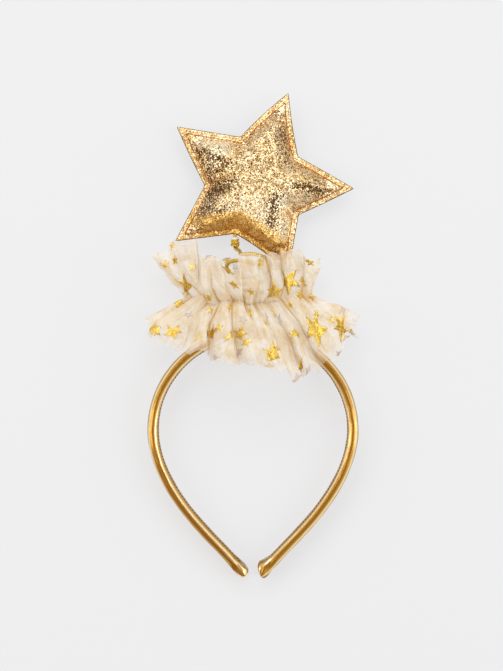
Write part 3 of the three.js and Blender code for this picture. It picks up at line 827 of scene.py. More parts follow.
held = np.concatenate([~in_seam, ~in_seam, np.ones(count, bool)])
pad = show("star_blown", mesh_of("star_blown", star_points * MM * SIM_SCALE, star_faces))
pinned = pad.vertex_groups.new(name="sewn")
pinned.add([int(i) for i in np.where(held)[0]], 1.0, "REPLACE")
cloth = pad.modifiers.new("stuffing", "CLOTH")
for setting, value in SIM_CLOTH.items():
    setattr(cloth.settings, setting, value)
cloth.settings.effector_weights.gravity = 0
cloth.point_cache.frame_start = 1
cloth.point_cache.frame_end = SIM_FRAMES
for step in range(1, SIM_FRAMES + 1):
    bpy.context.scene.frame_set(step)
evaluated = pad.evaluated_get(bpy.context.evaluated_depsgraph_get())
swollen = np.zeros(len(star_points) * 3)
evaluated.data.vertices.foreach_get("co", swollen)
bpy.context.scene.frame_set(1)
bpy.data.objects.remove(pad)
moved = swollen.reshape(-1, 3) / SIM_SCALE / MM - star_points
reach = length_of(moved)
star_points = star_points + moved * np.minimum(1, SIM_CAP / np.maximum(reach, 1e-6))
star_points[:, 2] = np.clip(star_points[:, 2], STAR_FLOOR, STAR_MIDDLE[2] + PUFF_FRONT + SIM_TOP)

for *ends, depth, spread in STAR_CREASES:
    star_points[:half, 2] -= depth * in_crease(ends, spread, star_points[:half]) * in_seam

star_mesh = mesh_of("star_body", placed(star_points), star_faces)
star_mesh.polygons.foreach_set(
    "material_index", (np.arange(len(star_faces)) >= cloth_faces).astype(np.int32),
)
star_mesh.shade_smooth()


def patch_share(patches):
    """How far the star's points lie in the given patches, each x, y, spread and share."""
    share = np.zeros(len(star_points))
    for x, y, spread, strength in patches:
        away = np.sum((star_points[:, :2] - (x, y)) ** 2, axis=1)
        share += strength * np.exp(-away / spread ** 2)
    return np.clip(share, 0, 1)


lower_seam = np.vstack(seam_sides[STEM_NOTCH - 1:STEM_NOTCH + 1])
near_lower = distance_to(lower_seam, star_points[:, :2], closed=False)
lower_shade_share = 1 - smoothstep(near_lower, LOWER_SHADE_REACH - LOWER_SHADE_FADE, LOWER_SHADE_REACH)
for tip in seam_corners[[STEM_NOTCH - 1, STEM_NOTCH + 1]]:
    lower_shade_share *= smoothstep(length_of(star_points[:, :2] - tip)[:, 0], *LOWER_SHADE_CLEAR_OF_TIP)
shade_share = patch_share(STAR_SHADE_PATCHES)
# Painted shade also darkens the glitter along the creases.
for *ends, _, spread in STAR_CREASES:
    shade_share += CREASE_SHADE * in_crease(ends, spread, star_points)
marks = {
    "cracked": np.clip(shade_share, 0, 1),
    "polished": patch_share(STAR_HIGHLIGHTS),
    "bare": lower_shade_share,
    "flange": held.astype(float),
}
paint(star_mesh, **marks)

glitter, shader, tree = new_finish("cracked_glitter", metallic=1.0)
solid = tree.place("Object")
surface = tree.node("ShaderNodeNewGeometry", output="Normal")


def grain_lean(scale, amount):
    """A random colour and a random lean for each glitter grain of about 1 / scale metres."""
    grain = solid.cells(scale, "Color")
    return grain, grain.vector("SUBTRACT", (0.5, 0.5, 0.5)).vector("SCALE", Scale=amount)


_, coarse_lean = grain_lean(900, 0.4)
fine_grain, fine_lean = grain_lean(2100, 0.55)
lean = surface.vector("ADD", coarse_lean.vector("ADD", fine_lean)).vector("NORMALIZE")
tint, fleck = (fine_grain.channel(name) for name in ("Red", "Green"))
patch = solid.noise(150, 3)
film = solid.noise(1500, 2, 0.7)
# Marks on the star: painted shade, painted highlight, painted warm shade on the lower slope, and the flange.
wear_and_light_marks = {name: tree.painted(name) for name in marks}
# The glitter's tone varies at random and is raised where painted highlights are marked.
shade = tint * 0.62 + film * 0.22 + patch * 0.30 + wear_and_light_marks["polished"] * 0.38 - 0.03
gold = shade.ramp([
    (0.2, (0.22, 0.10, 0.02)), (0.36, (0.58, 0.33, 0.10)), (0.55, (0.88, 0.65, 0.33)),
    (0.82, (1.0, 0.90, 0.68)),
])
hem_gold = shade.ramp([(0.25, (0.50, 0.24, 0.05)), (0.5, (0.86, 0.55, 0.22)), (0.8, (1.0, 0.86, 0.58))])
# The orange-gold ramp that paints warm shade on the lower slope.
ground = shade.ramp([(0.3, (0.36, 0.16, 0.02)), (0.55, (0.78, 0.44, 0.09)), (0.85, (1.0, 0.76, 0.34))])
gold = wear_and_light_marks["flange"].mix(gold, hem_gold)
gold = (wear_and_light_marks["bare"] * 0.92).mix(gold, ground)
# Dark flecks and pinholes in the glitter, denser where painted shade is marked and fewer on the flange and
# the lower slope.
pinhole = solid.cells(520).maths("LESS_THAN", 0.2 + wear_and_light_marks["cracked"] * 0.1)
dark_fleck = fleck.maths("LESS_THAN", 0.06 + wear_and_light_marks["cracked"] * 0.66)
dark = pinhole.maths("MAXIMUM", dark_fleck) * (1 - wear_and_light_marks["flange"] * 0.8) * (1 - wear_and_light_marks["bare"] * 0.8)
feed(
    shader,
    base_color=(dark * 0.94).mix(gold, (0.09, 0.036, 0.006)),
    roughness=0.24 + fleck * 0.22 + dark * 0.1,
    normal=lean,
)
edge_brown = mottled(
    "star_edge_brown", (0.05, 0.022, 0.006), (0.16, 0.08, 0.025), (1800, 3), (0.5, 0.0003),
    roughness=0.8, sheen_weight=0.2,
)
star_mesh.materials.append(glitter)
star_mesh.materials.append(edge_brown)
star_base = show("star_base", star_mesh)
softener = star_base.modifiers.new("smooth", "SUBSURF")
softener.levels = softener.render_levels = 1
depsgraph = bpy.context.evaluated_depsgraph_get()
smooth_star = bpy.data.meshes.new_from_object(star_base.evaluated_get(depsgraph))
bpy.data.objects.remove(star_base)
star = show("star_stuffed", smooth_star)
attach(star, "root")
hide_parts("star_pad")

# Star stitching: a lock stitch round the star on both faces, in orange-brown thread, just inside
# the flange.
STITCH_PITCH = 2.0
STITCH_LENGTH = 2.1
STITCH_THREAD = 0.62
STITCH_RISE = 0.22
star_thread = mottled(
    "star_thread", (0.22, 0.07, 0.006), (0.48, 0.18, 0.02), (2400, 2), (0.5, 0.0002),
    roughness=0.5, specular_ior_level=0.35,
)
for face, side in (("front", 1), ("back", -1)):
    rise = FLANGE_HALF + STITCH_RISE + over_stem(seam)
    row = np.column_stack([seam, STAR_MIDDLE[2] + side * rise])
    base = line_mesh(
        "star_row_" + face, placed(row), closed=True, facing=np.tile([0, 0, float(side)], (sewn, 1)),
    )
    stitches = grown(
        "star_stitches_" + face, base, stitch_tree, Pitch=STITCH_PITCH * MM,
        Length=STITCH_LENGTH * MM, Thread=STITCH_THREAD * MM, Slant=0.0, Finish=star_thread,
    )
    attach(stitches, "root")

# Ruffle: one strip of sheer tulle joined into a ring and gathered along its middle, so that it
# stands in pleats above and below a tight waist round the spring.
WAIST = {"x": -3.0, "side_y": 15.2, "front_y": 10.4, "side_z": 11.0, "front_z": 27.0}
WAIST_UNEVEN = 2.6
BACK_Z = 0.5
BACK_FALL = 1.7
EDGE_SIDE_Z = 11.0
UPPER_FRONT_Z = 36.0
LOWER_FRONT_Z = 34.0
PLEAT_WAIST = 0.9
PLEAT_EDGE = 3.8
PLEAT_BACK_SHARE = 0.28
FRILL_BULGE = 3.2
BULGE_LOW = 0.55
# How far cloth faces forwards where it starts and ends to bulge, and backwards where it lies flat.
BULGE_FACING = (-0.1, 0.6)
BACK_FACING = (-0.1, 0.7)
WING_POWER = 1.9
# Of the upper and the lower cut edge: where its height changes between two pleats, and its slant.
EDGE_EASE = [(0.3, 0.7), (0.1, 0.9)]
EDGE_SLANT = [0.9, 1.5]
PUCKER_DEPTH = 0.5
PUCKER_REACH = 0.22
RIPPLE_DEPTH = 0.28
PLEAT_ROLL = (0.25, 0.92)
CREASE_EASE = (0.3, 0.7)
# How the pleats differ from one another.
PLEAT_SIZES = (0.7, 1.2)
PLEAT_DRIFTS = (-0.4, 0.4)
PLEAT_LEANS = (0.5, 1.5)
PLEAT_ROLLS = (0.8, 1.1)
# Shares of the way from the waist to the cut edge over which each of these sets in.
SETS_IN = {
    "depth": (0, 1.1), "drift": (0.02, 0.4), "roll": (0.0, 0.45), "lean": (0.05, 0.5),
    "crease": (0.05, 0.4), "crumple": (0.05, 0.4),
}
TULLE_FLOOR = 0.12
# Painted shade in the creases: its sharp line, darker at the waist than at the edge, and the soft rest; and
# a band of painted shade along the waist.
CREASE_SHARP = 24
CREASE_DARK = (1.2, 0.95)
CREASE_SOFT = 0.16
WAIST_SHADE = 0.15
WAIST_SHADE_REACH = 0.1
BAND_COARSE = 8
DRAPE_CLEAR = 0.5
DRAPE_FALL = 1.3
CRUMPLES = [(17.0, 1.6), (7.0, 0.5), (3.0, 0.16)]
FOLD_LINE = 0.035
PLEAT_STEPS = 26
FRILL_STEPS = 34
# Tones between which the cloth goes from tan to white, and the painted shade colour in its creases.
TULLE_TAN = 0.36
TULLE_WHITE = 0.58
TULLE_CREASE_SHADE = (0.66, 0.37, 0.07)
PLEATS = [
    # round, waist x, upper edge x and y, lower edge x and y, depth of the next crease above and below
    (-90, -3.0, -6.0, 32.5, -3.5, -21.0, 1.0, 1.0), (-108, -12.6, -16.0, 33.0, -17.0, -18.0, 1.0, 1.0),
    (-126, -21.2, -26.0, 34.0, -29.0, -13.0, 1.0, 0.8), (-144, -28.1, -36.0, 34.5, -39.5, -8.0, 0.8, 0.6),
    (-162, -32.5, -43.5, 33.0, -48.0, -2.5, 0.7, 0.5), (180, -33.3, -45.6, 31.8, -52.5, -1.5, 0.5, 0.2),
    (162, -28.6, -47.5, 36.5, -51.5, -8.2, 0.4, 0.1), (144, -24.0, -35.9, 42.3, -39.8, -13.5, 0.9, 0.4),
    (126, -19.5, -23.5, 33.8, -28.0, -16.0, 0.9, 1.0), (108, -13.5, -18.5, 33.0, -12.8, -20.5, 0.3, 1.0),
    (90, -6.5, -9.5, 27.6, 2.0, -21.5, 0.9, 0.1), (72, -2.0, -2.5, 34.6, 12.0, -25.0, 0.15, 0.2),
    (54, 2.8, 1.5, 32.6, 21.0, -29.0, 1.0, 0.8), (36, 9.5, 9.5, 34.0, 29.5, -26.0, 1.0, 0.9),
    (18, 19.0, 17.5, 37.0, 38.5, -20.0, 0.8, 0.15), (0, 28.6, 31.0, 33.4, 52.2, -0.8, 0.5, 0.4),
    (-18, 26.5, 31.0, 29.0, 49.5, -9.0, 0.8, 0.6), (-36, 22.1, 22.5, 34.0, 39.0, -16.0, 1.0, 0.8),
    (-54, 15.2, 13.5, 33.5, 25.0, -21.0, 1.0, 1.0), (-72, 6.6, 4.0, 32.5, 11.0, -22.5, 1.0, 1.0),
]

pleat_count = len(PLEATS)
around_count = pleat_count * PLEAT_STEPS
shares = np.arange(around_count) / around_count


def closed_line(points, shares):
    """Points of the smooth closed line, at shares of a full round."""
    points = np.asarray(points, float)
    where = shares * len(points)
    index = np.floor(where).astype(int)
    corner = [points[(index + k) % len(points)] for k in (-1, 0, 1, 2)]
    return line_piece(*corner, (where - index)[:, None])


def per_pleat(values, ease=(0.0, 1.0), ridge=0.0):
    """A value for each pleat, eased from one pleat's ridge to the next round the ring."""
    place = shares * pleat_count - ridge
    first = np.floor(place).astype(int)
    share = smoothstep(place - first, *ease)
    return between(values[first % pleat_count], values[(first + 1) % pleat_count], share)


def lift(turn, side, front):
    """Height round the ring: the side's, rising to the front's or falling to the back's."""
    s = math.sin(math.radians(turn))
    if s >= 0:
        return side + (front - side) * s ** WING_POWER
    return max(BACK_Z, side + (side - BACK_Z) * BACK_FALL * s)


waist_rows = []
upper_rows = []
lower_rows = []
for turn, waist_x, up_x, up_y, down_x, down_y, _, _ in PLEATS:
    s = abs(math.sin(math.radians(turn)))
    waist_y = between(WAIST["side_y"], WAIST["front_y"], s)
    waist_rows.append((waist_x, waist_y, lift(turn, WAIST["side_z"], WAIST["front_z"])))
    upper_rows.append((up_x, up_y, lift(turn, EDGE_SIDE_Z, UPPER_FRONT_Z)))
    lower_rows.append((down_x, down_y, lift(turn, EDGE_SIDE_Z, LOWER_FRONT_Z)))

rng = np.random.default_rng(12)
pleat_size = rng.uniform(*PLEAT_SIZES, pleat_count)
pleat_drift = rng.uniform(*PLEAT_DRIFTS, (pleat_count, 2))
pleat_lean = rng.uniform(*PLEAT_LEANS, pleat_count)
pleat_lean *= np.where(np.array(PLEATS)[:, 1] < 0, 1, -1)
pleat_roll = rng.uniform(*PLEAT_ROLLS, pleat_count)
pucker_turn = rng.uniform(0, 2 * np.pi, pleat_count)
reaches = np.linspace(-1, 1, 2 * FRILL_STEPS + 1)
waist_line = closed_line(waist_rows, shares)
upper_line = closed_line(upper_rows, shares)
lower_line = closed_line(lower_rows, shares)
edge_slant = rng.uniform(-1, 1, (pleat_count, 2))
waist_line[:, 1] += per_pleat(rng.uniform(-WAIST_UNEVEN, WAIST_UNEVEN, pleat_count))
phase = 2 * np.pi * shares * pleat_count
for k, (edge, rows) in enumerate(((upper_line, upper_rows), (lower_line, lower_rows))):
    edge[:, 1] = per_pleat(np.array(rows)[:, 1], EDGE_EASE[k])
    edge[:, 1] += EDGE_SLANT[k] * per_pleat(edge_slant[:, k]) * np.sin(phase)
out = waist_line - np.array([WAIST["x"], 0, WAIST["side_z"]])
out[:, 1] = 0
out /= length_of(out)
bulging = FRILL_BULGE * smoothstep(out[:, 2], *BULGE_FACING)
base_rows = []
for reach in reaches:
    edge = upper_line if reach >= 0 else lower_line
    share = abs(reach)
    swell = bulging * math.sin(math.pi * share ** BULGE_LOW)
    base_rows.append(between(waist_line, edge, share) + out * swell[:, None])
base = np.array(base_rows)
across = np.roll(base, -1, axis=1) - np.roll(base, 1, axis=1)
along = np.gradient(base, axis=0)
normal = np.cross(across, along)
normal /= length_of(normal)
spread = length_of(across) / 2 * PLEAT_STEPS / (2 * np.pi)
tangent = across / length_of(across)

share = np.abs(reaches)[:, None]
upper = reaches[:, None] >= 0
behind = smoothstep(-normal[..., 2], *BACK_FACING)
grow = smoothstep(share, *SETS_IN["depth"])
drift = np.where(upper, per_pleat(pleat_drift[:, 0]), per_pleat(pleat_drift[:, 1]))
turned = phase[None] + drift * smoothstep(share, *SETS_IN["drift"])
height = between(PLEAT_WAIST, PLEAT_EDGE, grow) * between(1, PLEAT_BACK_SHARE, behind)
height = height * per_pleat(pleat_size)[None]
creases = np.array(PLEATS)[:, 6:]
upper_sunk, lower_sunk = (per_pleat(creases[:, k], CREASE_EASE, 0.5) for k in (0, 1))
gathered = np.where(upper, upper_sunk, lower_sunk)
gathered = between(1, gathered, smoothstep(share, *SETS_IN["crease"]))
roll = between(*PLEAT_ROLL, smoothstep(share, *SETS_IN["roll"])) * per_pleat(pleat_roll)
puckers = PUCKER_DEPTH * np.exp(-((share / PUCKER_REACH) ** 2))
puckers = puckers * np.cos(3 * phase + per_pleat(pucker_turn))
leaning_over = per_pleat(pleat_lean) * smoothstep(share, *SETS_IN["lean"])
panel_top = np.sin(np.pi / 2 * np.sin(np.pi / 2 * np.cos(turned)))
panel_top = 1 - (1 - panel_top) * gathered
ripple = RIPPLE_DEPTH * np.sin(2 * turned + 7 * reaches[:, None] + per_pleat(pucker_turn)) * share
crumples = np.zeros(base.shape[:2])
for scale, depth in CRUMPLES:
    facets = [1 - 2 * abs(noise.noise(Vector(p) / scale)) for p in base.reshape(-1, 3)]
    crumples += depth * np.reshape(facets, base.shape[:2])
crumples *= smoothstep(share, *SETS_IN["crumple"])
cloth = base + normal * (height * panel_top + puckers + ripple + crumples)[..., None]
cloth += tangent * spread * (roll * gathered * np.sin(turned) + leaning_over * panel_top)[..., None]

# The front of the lower frill lies over the hairband, and its back lies under it.
crown = tilted(band_line[::BAND_COARSE])
crown_away = distance_to(crown[:, :2], cloth.reshape(-1, 3)[:, :2], closed=False).reshape(behind.shape)
crown_away = np.maximum(crown_away - BAND_THICKNESS / 2 - DRAPE_CLEAR, 0) * DRAPE_FALL
crown_middle = BAND_LIFT + cloth[..., 1] * math.sin(BAND_TILT)
over_crown = crown_middle + BAND_WIDTH / 2 + DRAPE_CLEAR - crown_away
under_crown = crown_middle - BAND_WIDTH / 2 - DRAPE_CLEAR + crown_away
front = behind < 0.5
cloth[..., 2] = np.where(~upper & front, np.maximum(cloth[..., 2], over_crown), cloth[..., 2])
cloth[..., 2] = np.where(~upper & ~front, np.minimum(cloth[..., 2], under_crown), cloth[..., 2])
cloth[..., 2] = np.maximum(cloth[..., 2], TULLE_FLOOR)

# The strip's own flat measure: cloth lengths along the middle of each frill, laid straight.
ring_step = length_of(np.roll(cloth, -1, axis=1) - cloth)[..., 0]
frill_step = length_of(np.diff(cloth, axis=0))[..., 0]
strip_length = float(ring_step.sum(axis=1)[[FRILL_STEPS // 2, -FRILL_STEPS // 2]].mean())
strip_width = float(frill_step.sum(axis=0).mean())
flat_along = np.pad(np.cumsum(ring_step, axis=1), ((0, 0), (1, 0)))
flat_along *= strip_length * MM / flat_along[:, -1:]
flat_across = (reaches + 1) / 2 * strip_width * MM

cloth_faces, corners = ring_faces(len(reaches), around_count, (0, 3, 2, 1))
cloth_uv = [(flat_along[r, i], flat_across[r]) for r, i in corners]
tulle_mesh = mesh_of("tulle_strip", placed(cloth).reshape(-1, 3), cloth_faces)
tulle_mesh.uv_layers.new(name="flat").data.foreach_set("uv", np.ravel(cloth_uv))
tulle_mesh.shade_smooth()

# Painted shade, kept on the cloth as its crease share: darker in the creases and along the waist.
crease = (1 - np.cos(turned)) / 2 * between(1, 0.5, behind)
crease = crease ** CREASE_SHARP * between(*CREASE_DARK, share) + CREASE_SOFT * crease ** 4
crease = crease * gathered ** 2 + WAIST_SHADE * np.exp(-((share / WAIST_SHADE_REACH) ** 2))
paint(tulle_mesh, crease=np.ravel(crease))

tulle, shader, tree = new_finish("sheer_tulle", roughness=0.32, specular_ior_level=0.6)
flat = tree.place("UV")
crease_shade = tree.painted("crease")
across_strip = flat.axis("Y")
from_waist = (across_strip * (2 / (strip_width * MM)) - 1).maths("ABSOLUTE")
upper_half = across_strip.maths("GREATER_THAN", strip_width * MM / 2)
body = from_waist.eased(0.74, 1.0, 0.87, 0.42 + upper_half * 0.16)
crumple = flat.noise(190, 4, 0.6)
streak = flat.stretched((330, 38, 1)).noise(1.0, 3, 0.6)
threads = flat.cells(1900)
slub = flat.stretched((60, 900, 1)).noise(1.0, 2)
tone_and_sheen_patches = flat.stretched(shift=(0.3, 0.1, 0)).noise(95, 3, 0.6)
mesh_grain = flat.noise(900, 2, 0.7)
# Painted highlights: thin bright lines where the sheer cloth has been pressed into sharp folds.
fold_highlight_lines = (flat.stretched(shift=(FOLD_LINE, 0, 0)).noise(110, 3, 0.5) - 0.5).maths("ABSOLUTE")
fold_highlight_lines = (1 - fold_highlight_lines * (1 / FOLD_LINE)).maths("MAXIMUM", 0.0)
# The tone varies at random; its white end, which the patches and streaks reach, is partly painted highlight.
tone = tone_and_sheen_patches * 0.32 + streak * 0.38 + crumple * 0.2 + mesh_grain * 0.1 + fold_highlight_lines * 0.05
# Painted light: the upper frill's tone is raised a little against the shade it lies in.
tone = tone + upper_half * 0.02 + 0.008
pale = tone.ramp([
    (TULLE_TAN, (0.78, 0.56, 0.28)), (0.44, (0.94, 0.80, 0.56)), (0.52, (0.99, 0.90, 0.71)),
    (TULLE_WHITE, (1.0, 0.99, 0.96)),
])
pale = crease_shade.mix(pale, TULLE_CREASE_SHADE)
tulle_alpha = body + crumple * 0.14 + slub * 0.06 - threads * 0.1 + crease_shade * 0.1 - 0.1
feed(
    shader,
    base_color=pale,
    normal=(crumple * 0.3 + streak * 0.8 + fold_highlight_lines * 0.3).bump(0.5, 0.0009),
)
whiteness = (tone - TULLE_TAN) * (1 / (TULLE_WHITE - TULLE_TAN)) * (1 - crease_shade)
tan_light = tree.node("ShaderNodeBsdfTranslucent", {}, {"Color": (0.82, 0.58, 0.25, 1)})
white_light = tree.node("ShaderNodeBsdfTranslucent", {}, {"Color": (1.0, 1.0, 1.0, 1)})
through = tree.node("ShaderNodeMixShader", {}, {0: whiteness, 1: tan_light, 2: white_light})
clear = tree.node("ShaderNodeBsdfTransparent")
woven = tree.node("ShaderNodeMixShader", {}, {0: 0.5, 1: Finish(tree.tree, shader.outputs[0]), 2: through})
sheer = tree.node("ShaderNodeMixShader", {}, {0: tulle_alpha, 1: clear, 2: woven})
tree.tree.links.new(sheer.socket, tulle.node_tree.nodes["Material Output"].inputs["Surface"])
tulle_mesh.materials.append(tulle)
ruffle = show("tulle_strip", tulle_mesh)
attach(ruffle, "root")
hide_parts("tulle_ruffle")

# Foil stars: gold foil bonded to the tulle in a scatter of small and large stars. Some are seen
# from their pale reverse. The scatter is charted where it shows and random elsewhere.
FOIL_LIFT = 0.09
FOIL_THICKNESS = 0.05
SMALL_STAR = 4.4
FOIL_STARS = [
    # x, y, width across the points, turn in degrees, face (1 gold out, 0.5 rubbed gold, -1 reverse out)
    (-44.6, 29.2, 5.0, 8, 0.5), (-39.5, 31.8, 4.4, 50, 1), (-30.8, 28.2, 4.8, 20, 0.5),
    (-41.0, 39.0, 3.6, 0, 1), (-9.7, 19.0, 5.0, 12, 1), (28.7, 30.8, 4.8, 20, 1),
    (23.1, 13.9, 4.6, 30, 1), (32.8, 13.9, 4.6, 10, 1), (19.0, 9.2, 4.6, 0, 0.5),
    (-21.5, 6.2, 4.6, 25, 0.5), (-11.3, 7.7, 4.8, 40, 1), (-1.0, 4.6, 4.6, 60, 1),
    (6.7, -0.5, 5.0, 15, 0.5), (10.8, 4.6, 4.6, 35, 0.5), (-27.7, -7.2, 4.6, 5, 0.5),
    (40.0, 1.5, 4.8, 45, 0.5), (32.3, 4.6, 4.4, 10, 1), (26.2, 20.5, 4.6, 28, 1),
    (-22.6, 12.3, 4.4, 20, 1), (-40.5, -4.6, 9.6, 18, 1), (9.6, -15.9, 11.5, 20, 1),
    (32.0, -4.2, 16.0, 35, 1), (44.6, -1.8, 11.0, 5, 1), (-34.4, 18.0, 9.2, 40, 1),
    (11.3, 15.9, 9.4, 10, 1), (17.5, 21.0, 12.6, 30, 1), (-22.6, 33.4, 5.0, 0, 1),
    (3.8, 30.2, 5.0, 15, 1), (-13.0, 26.4, 5.5, 34, 1), (-38.5, 10.3, 6.0, 25, 1), (-21.0, -5.5, 8.0, 20, 1),
    (-3.6, -9.7, 6.0, 10, 1), (-11.5, -6.7, 4.8, 44, 1), (21.5, -5.1, 6.0, 0, 1),
    (-7.0, -5.5, 8.0, 8, 1), (-17.5, -2.6, 4.6, 30, 1), (-24.6, 12.6, 4.4, 50, 1),
    (-0.7, 15.4, 4.2, 12, 1), (51.8, -9.7, 5.0, 30, -1), (45.0, -16.0, 4.6, 10, -1),
    (24.1, -22.1, 5.5, 30, 1), (-32.8, 4.1, 5.0, 20, -1), (-5.1, 1.5, 5.0, 0, -1),
    (6.9, 2.6, 4.6, 50, -1), (13.3, 1.0, 5.0, 30, -1), (46.2, 7.2, 4.8, 12, -1),
    (29.2, -25.6, 5.0, 33, -1), (8.7, -23.6, 6.0, 20, -1), (22.1, -28.7, 6.5, 0, -1),
    (-7.2, -14.9, 4.8, 26, -1), (-19.0, -17.4, 4.6, 8, -1),
]
SIX_POINTED = [(-50.2, -3.4, 7.4, 10, 1)]
SCATTER_COUNT = 150
SCATTER_TRIES = 4000
SCATTER_APART = 9.0
SCATTER_FROM_SEAM = 5.0
SCATTER_FROM_EDGE = 1.0
SMALL_SHARE = 0.8
GOLD_OUT_SHARE = 0.8
FRONT_PLEATS = (4, 16)
STRETCH_REACH = 0.6
STRETCH_LEAST = 0.34

surface_tree = BVHTree.FromPolygons(
    [Vector(p) for p in placed(cloth).reshape(-1, 3)], cloth_faces, all_triangles=False,
)


def strip_place(x, y):
    """Where on the flat strip the topmost cloth over a place lies; a place off it is drawn in."""
    hit = (None, None, None)
    while hit[2] is None:
        above = Vector(placed((x, y, 0)))
        above.z = 1.0
        hit = surface_tree.ray_cast(above, Vector((0, 0, -1)))
        x, y = between(np.array([x, y]), np.array([WAIST["x"], WAIST["front_y"]]), 0.02)
    row, column = divmod(hit[2], around_count)
    corners = placed(cloth)[[row, row, row + 1], [column, (column + 1) % around_count, column]]
    right, up, offset = corners[1] - corners[0], corners[2] - corners[0], np.array(hit[0]) - corners[0]
    shares_at = np.linalg.lstsq(np.stack([right, up], axis=1), offset, rcond=None)[0]
    return (
        between(flat_along[row, column], flat_along[row, column + 1], shares_at[0]),
        between(flat_across[row], flat_across[row + 1], shares_at[1]),
    )


def cloth_stretch(u, v, width, seen):
    """Cloth length per flat length along and across a star, or the length seen from the front."""
    reach = STRETCH_REACH * width * MM
    row = min(int(v / flat_across[-1] * (len(reaches) - 1)), len(reaches) - 2)
    column = min(int(np.searchsorted(flat_along[row], u)), around_count - 1)
    rows = np.clip(np.searchsorted(flat_across, [v - reach, v + reach]), 0, len(reaches) - 1)
    columns = np.clip(np.searchsorted(flat_along[row], [u - reach, u + reach]), 0, around_count - 1)
    shown = cloth[..., :2] if seen else cloth
    along_strip = np.linalg.norm(shown[row, columns[1]] - shown[row, columns[0]])
    along_strip *= MM / (flat_along[row, columns[1]] - flat_along[row, columns[0]])
    across_strip = np.linalg.norm(shown[rows[1], column] - shown[rows[0], column])
    across_strip *= MM / (flat_across[rows[1]] - flat_across[rows[0]])
    return max(along_strip, STRETCH_LEAST), max(across_strip, STRETCH_LEAST)


def foil_row(u, v, width, turn, face, seen=False):
    """A star's place on the strip, its half width along and across it, its turn and its face."""
    along_strip, across_strip = cloth_stretch(u, v, width, seen)
    half_width = width * MM / 2
    return (u, v, half_width / along_strip, half_width / across_strip, math.radians(turn), face)


charted = {5: [], 6: []}
for points, rows in ((5, FOIL_STARS), (6, SIX_POINTED)):
    for x, y, width, turn, face in rows:
        charted[points].append(foil_row(*strip_place(x, y), width, turn, face, seen=True))
taken = [row[:2] for rows in charted.values() for row in rows]
for _ in range(SCATTER_TRIES):
    if len(charted[5]) >= SCATTER_COUNT:
        break
    u = rng.uniform(SCATTER_FROM_SEAM * MM, flat_along[0, -1] - SCATTER_FROM_SEAM * MM)
    v = rng.uniform(SCATTER_FROM_EDGE * MM, flat_across[-1] - SCATTER_FROM_EDGE * MM)
    small = rng.random() < SMALL_SHARE
    width = SMALL_STAR * rng.uniform(0.9, 1.15) if small else rng.uniform(7.5, 10.0)
    turn = rng.uniform(0, 72)
    face = 1 if rng.random() < GOLD_OUT_SHARE else -1
    shown = FRONT_PLEATS[0] < u / flat_along[0, -1] * pleat_count < FRONT_PLEATS[1]
    if not shown and min(math.hypot(u - a, v - b) for a, b in taken) > SCATTER_APART * MM:
        taken.append((u, v))
        charted[5].append(foil_row(u, v, width, turn, face))

foil_tree, given, leave = new_tree(
    "foil_stars", Points="Int", Waist="Float", Lift="Float", Thickness="Float", Cloth="Object",
    Gold="Material", Reverse="Material",
)
spots = given["Geometry"].then("MeshToPoints")
star_line = spots.node(
    "GeometryNodeCurveStar", {},
    {"Points": given["Points"], "Inner Radius": given["Waist"], "Outer Radius": 1.0},
)
leaf = star_line.then("FillCurve", {"mode": "TRIANGLES"}).then("SubdivideMesh", Level=2)
turn = spots.node("FunctionNodeEulerToRotation", {}, {"Euler": spots.carried("turn")})
laid = spots.then("InstanceOnPoints", Instance=leaf, Rotation=turn, Scale=spots.carried("size"))
laid = laid.then("RealizeInstances")
ground = spots.node("GeometryNodeObjectInfo", {}, {"Object": given["Cloth"]}, "Geometry")
flat_map = spots.carried("flat")
here = spots.node("GeometryNodeInputPosition")
lying, upright = (
    spots.node(
        "GeometryNodeSampleUVSurface", {"data_type": "FLOAT_VECTOR"},
        {"Mesh": ground, "Value": value, "UV Map": flat_map, "Sample UV": here},
    )
    for value in (here, spots.node("GeometryNodeInputNormal"))
)
found = Finish(spots.tree, upright.socket.node.outputs["Is Valid"])
missed = spots.node("FunctionNodeBooleanMath", {"operation": "NOT"}, {0: found})
underside = spots.node(
    "FunctionNodeCompare", {"data_type": "FLOAT", "operation": "LESS_THAN"},
    {0: spots.carried("face", "FLOAT"), 1: 0.0},
)
spot = lying.vector("ADD", upright.vector("SCALE", Scale=given["Lift"]))
laid = laid.then("DeleteGeometry", {"domain": "POINT"}, Selection=missed)
laid = laid.then("SetPosition", Position=spot).then("FlipFaces", Selection=underside)
gold_side = laid.then("ExtrudeMesh", {"mode": "FACES"}, Offset_Scale=given["Thickness"], Individual=False)
gold_side = gold_side.then("SetMaterial", Material=given["Gold"])
reverse = laid.then("FlipFaces").then("SetMaterial", Material=given["Reverse"])
both = gold_side.then("JoinGeometry")
both.tree.links.new(reverse.socket, both.socket.node.inputs["Geometry"])
both = both.then("MergeByDistance", Distance=1e-6).then("SetShadeSmooth")
both.tree.links.new(both.socket, leave.inputs[0])

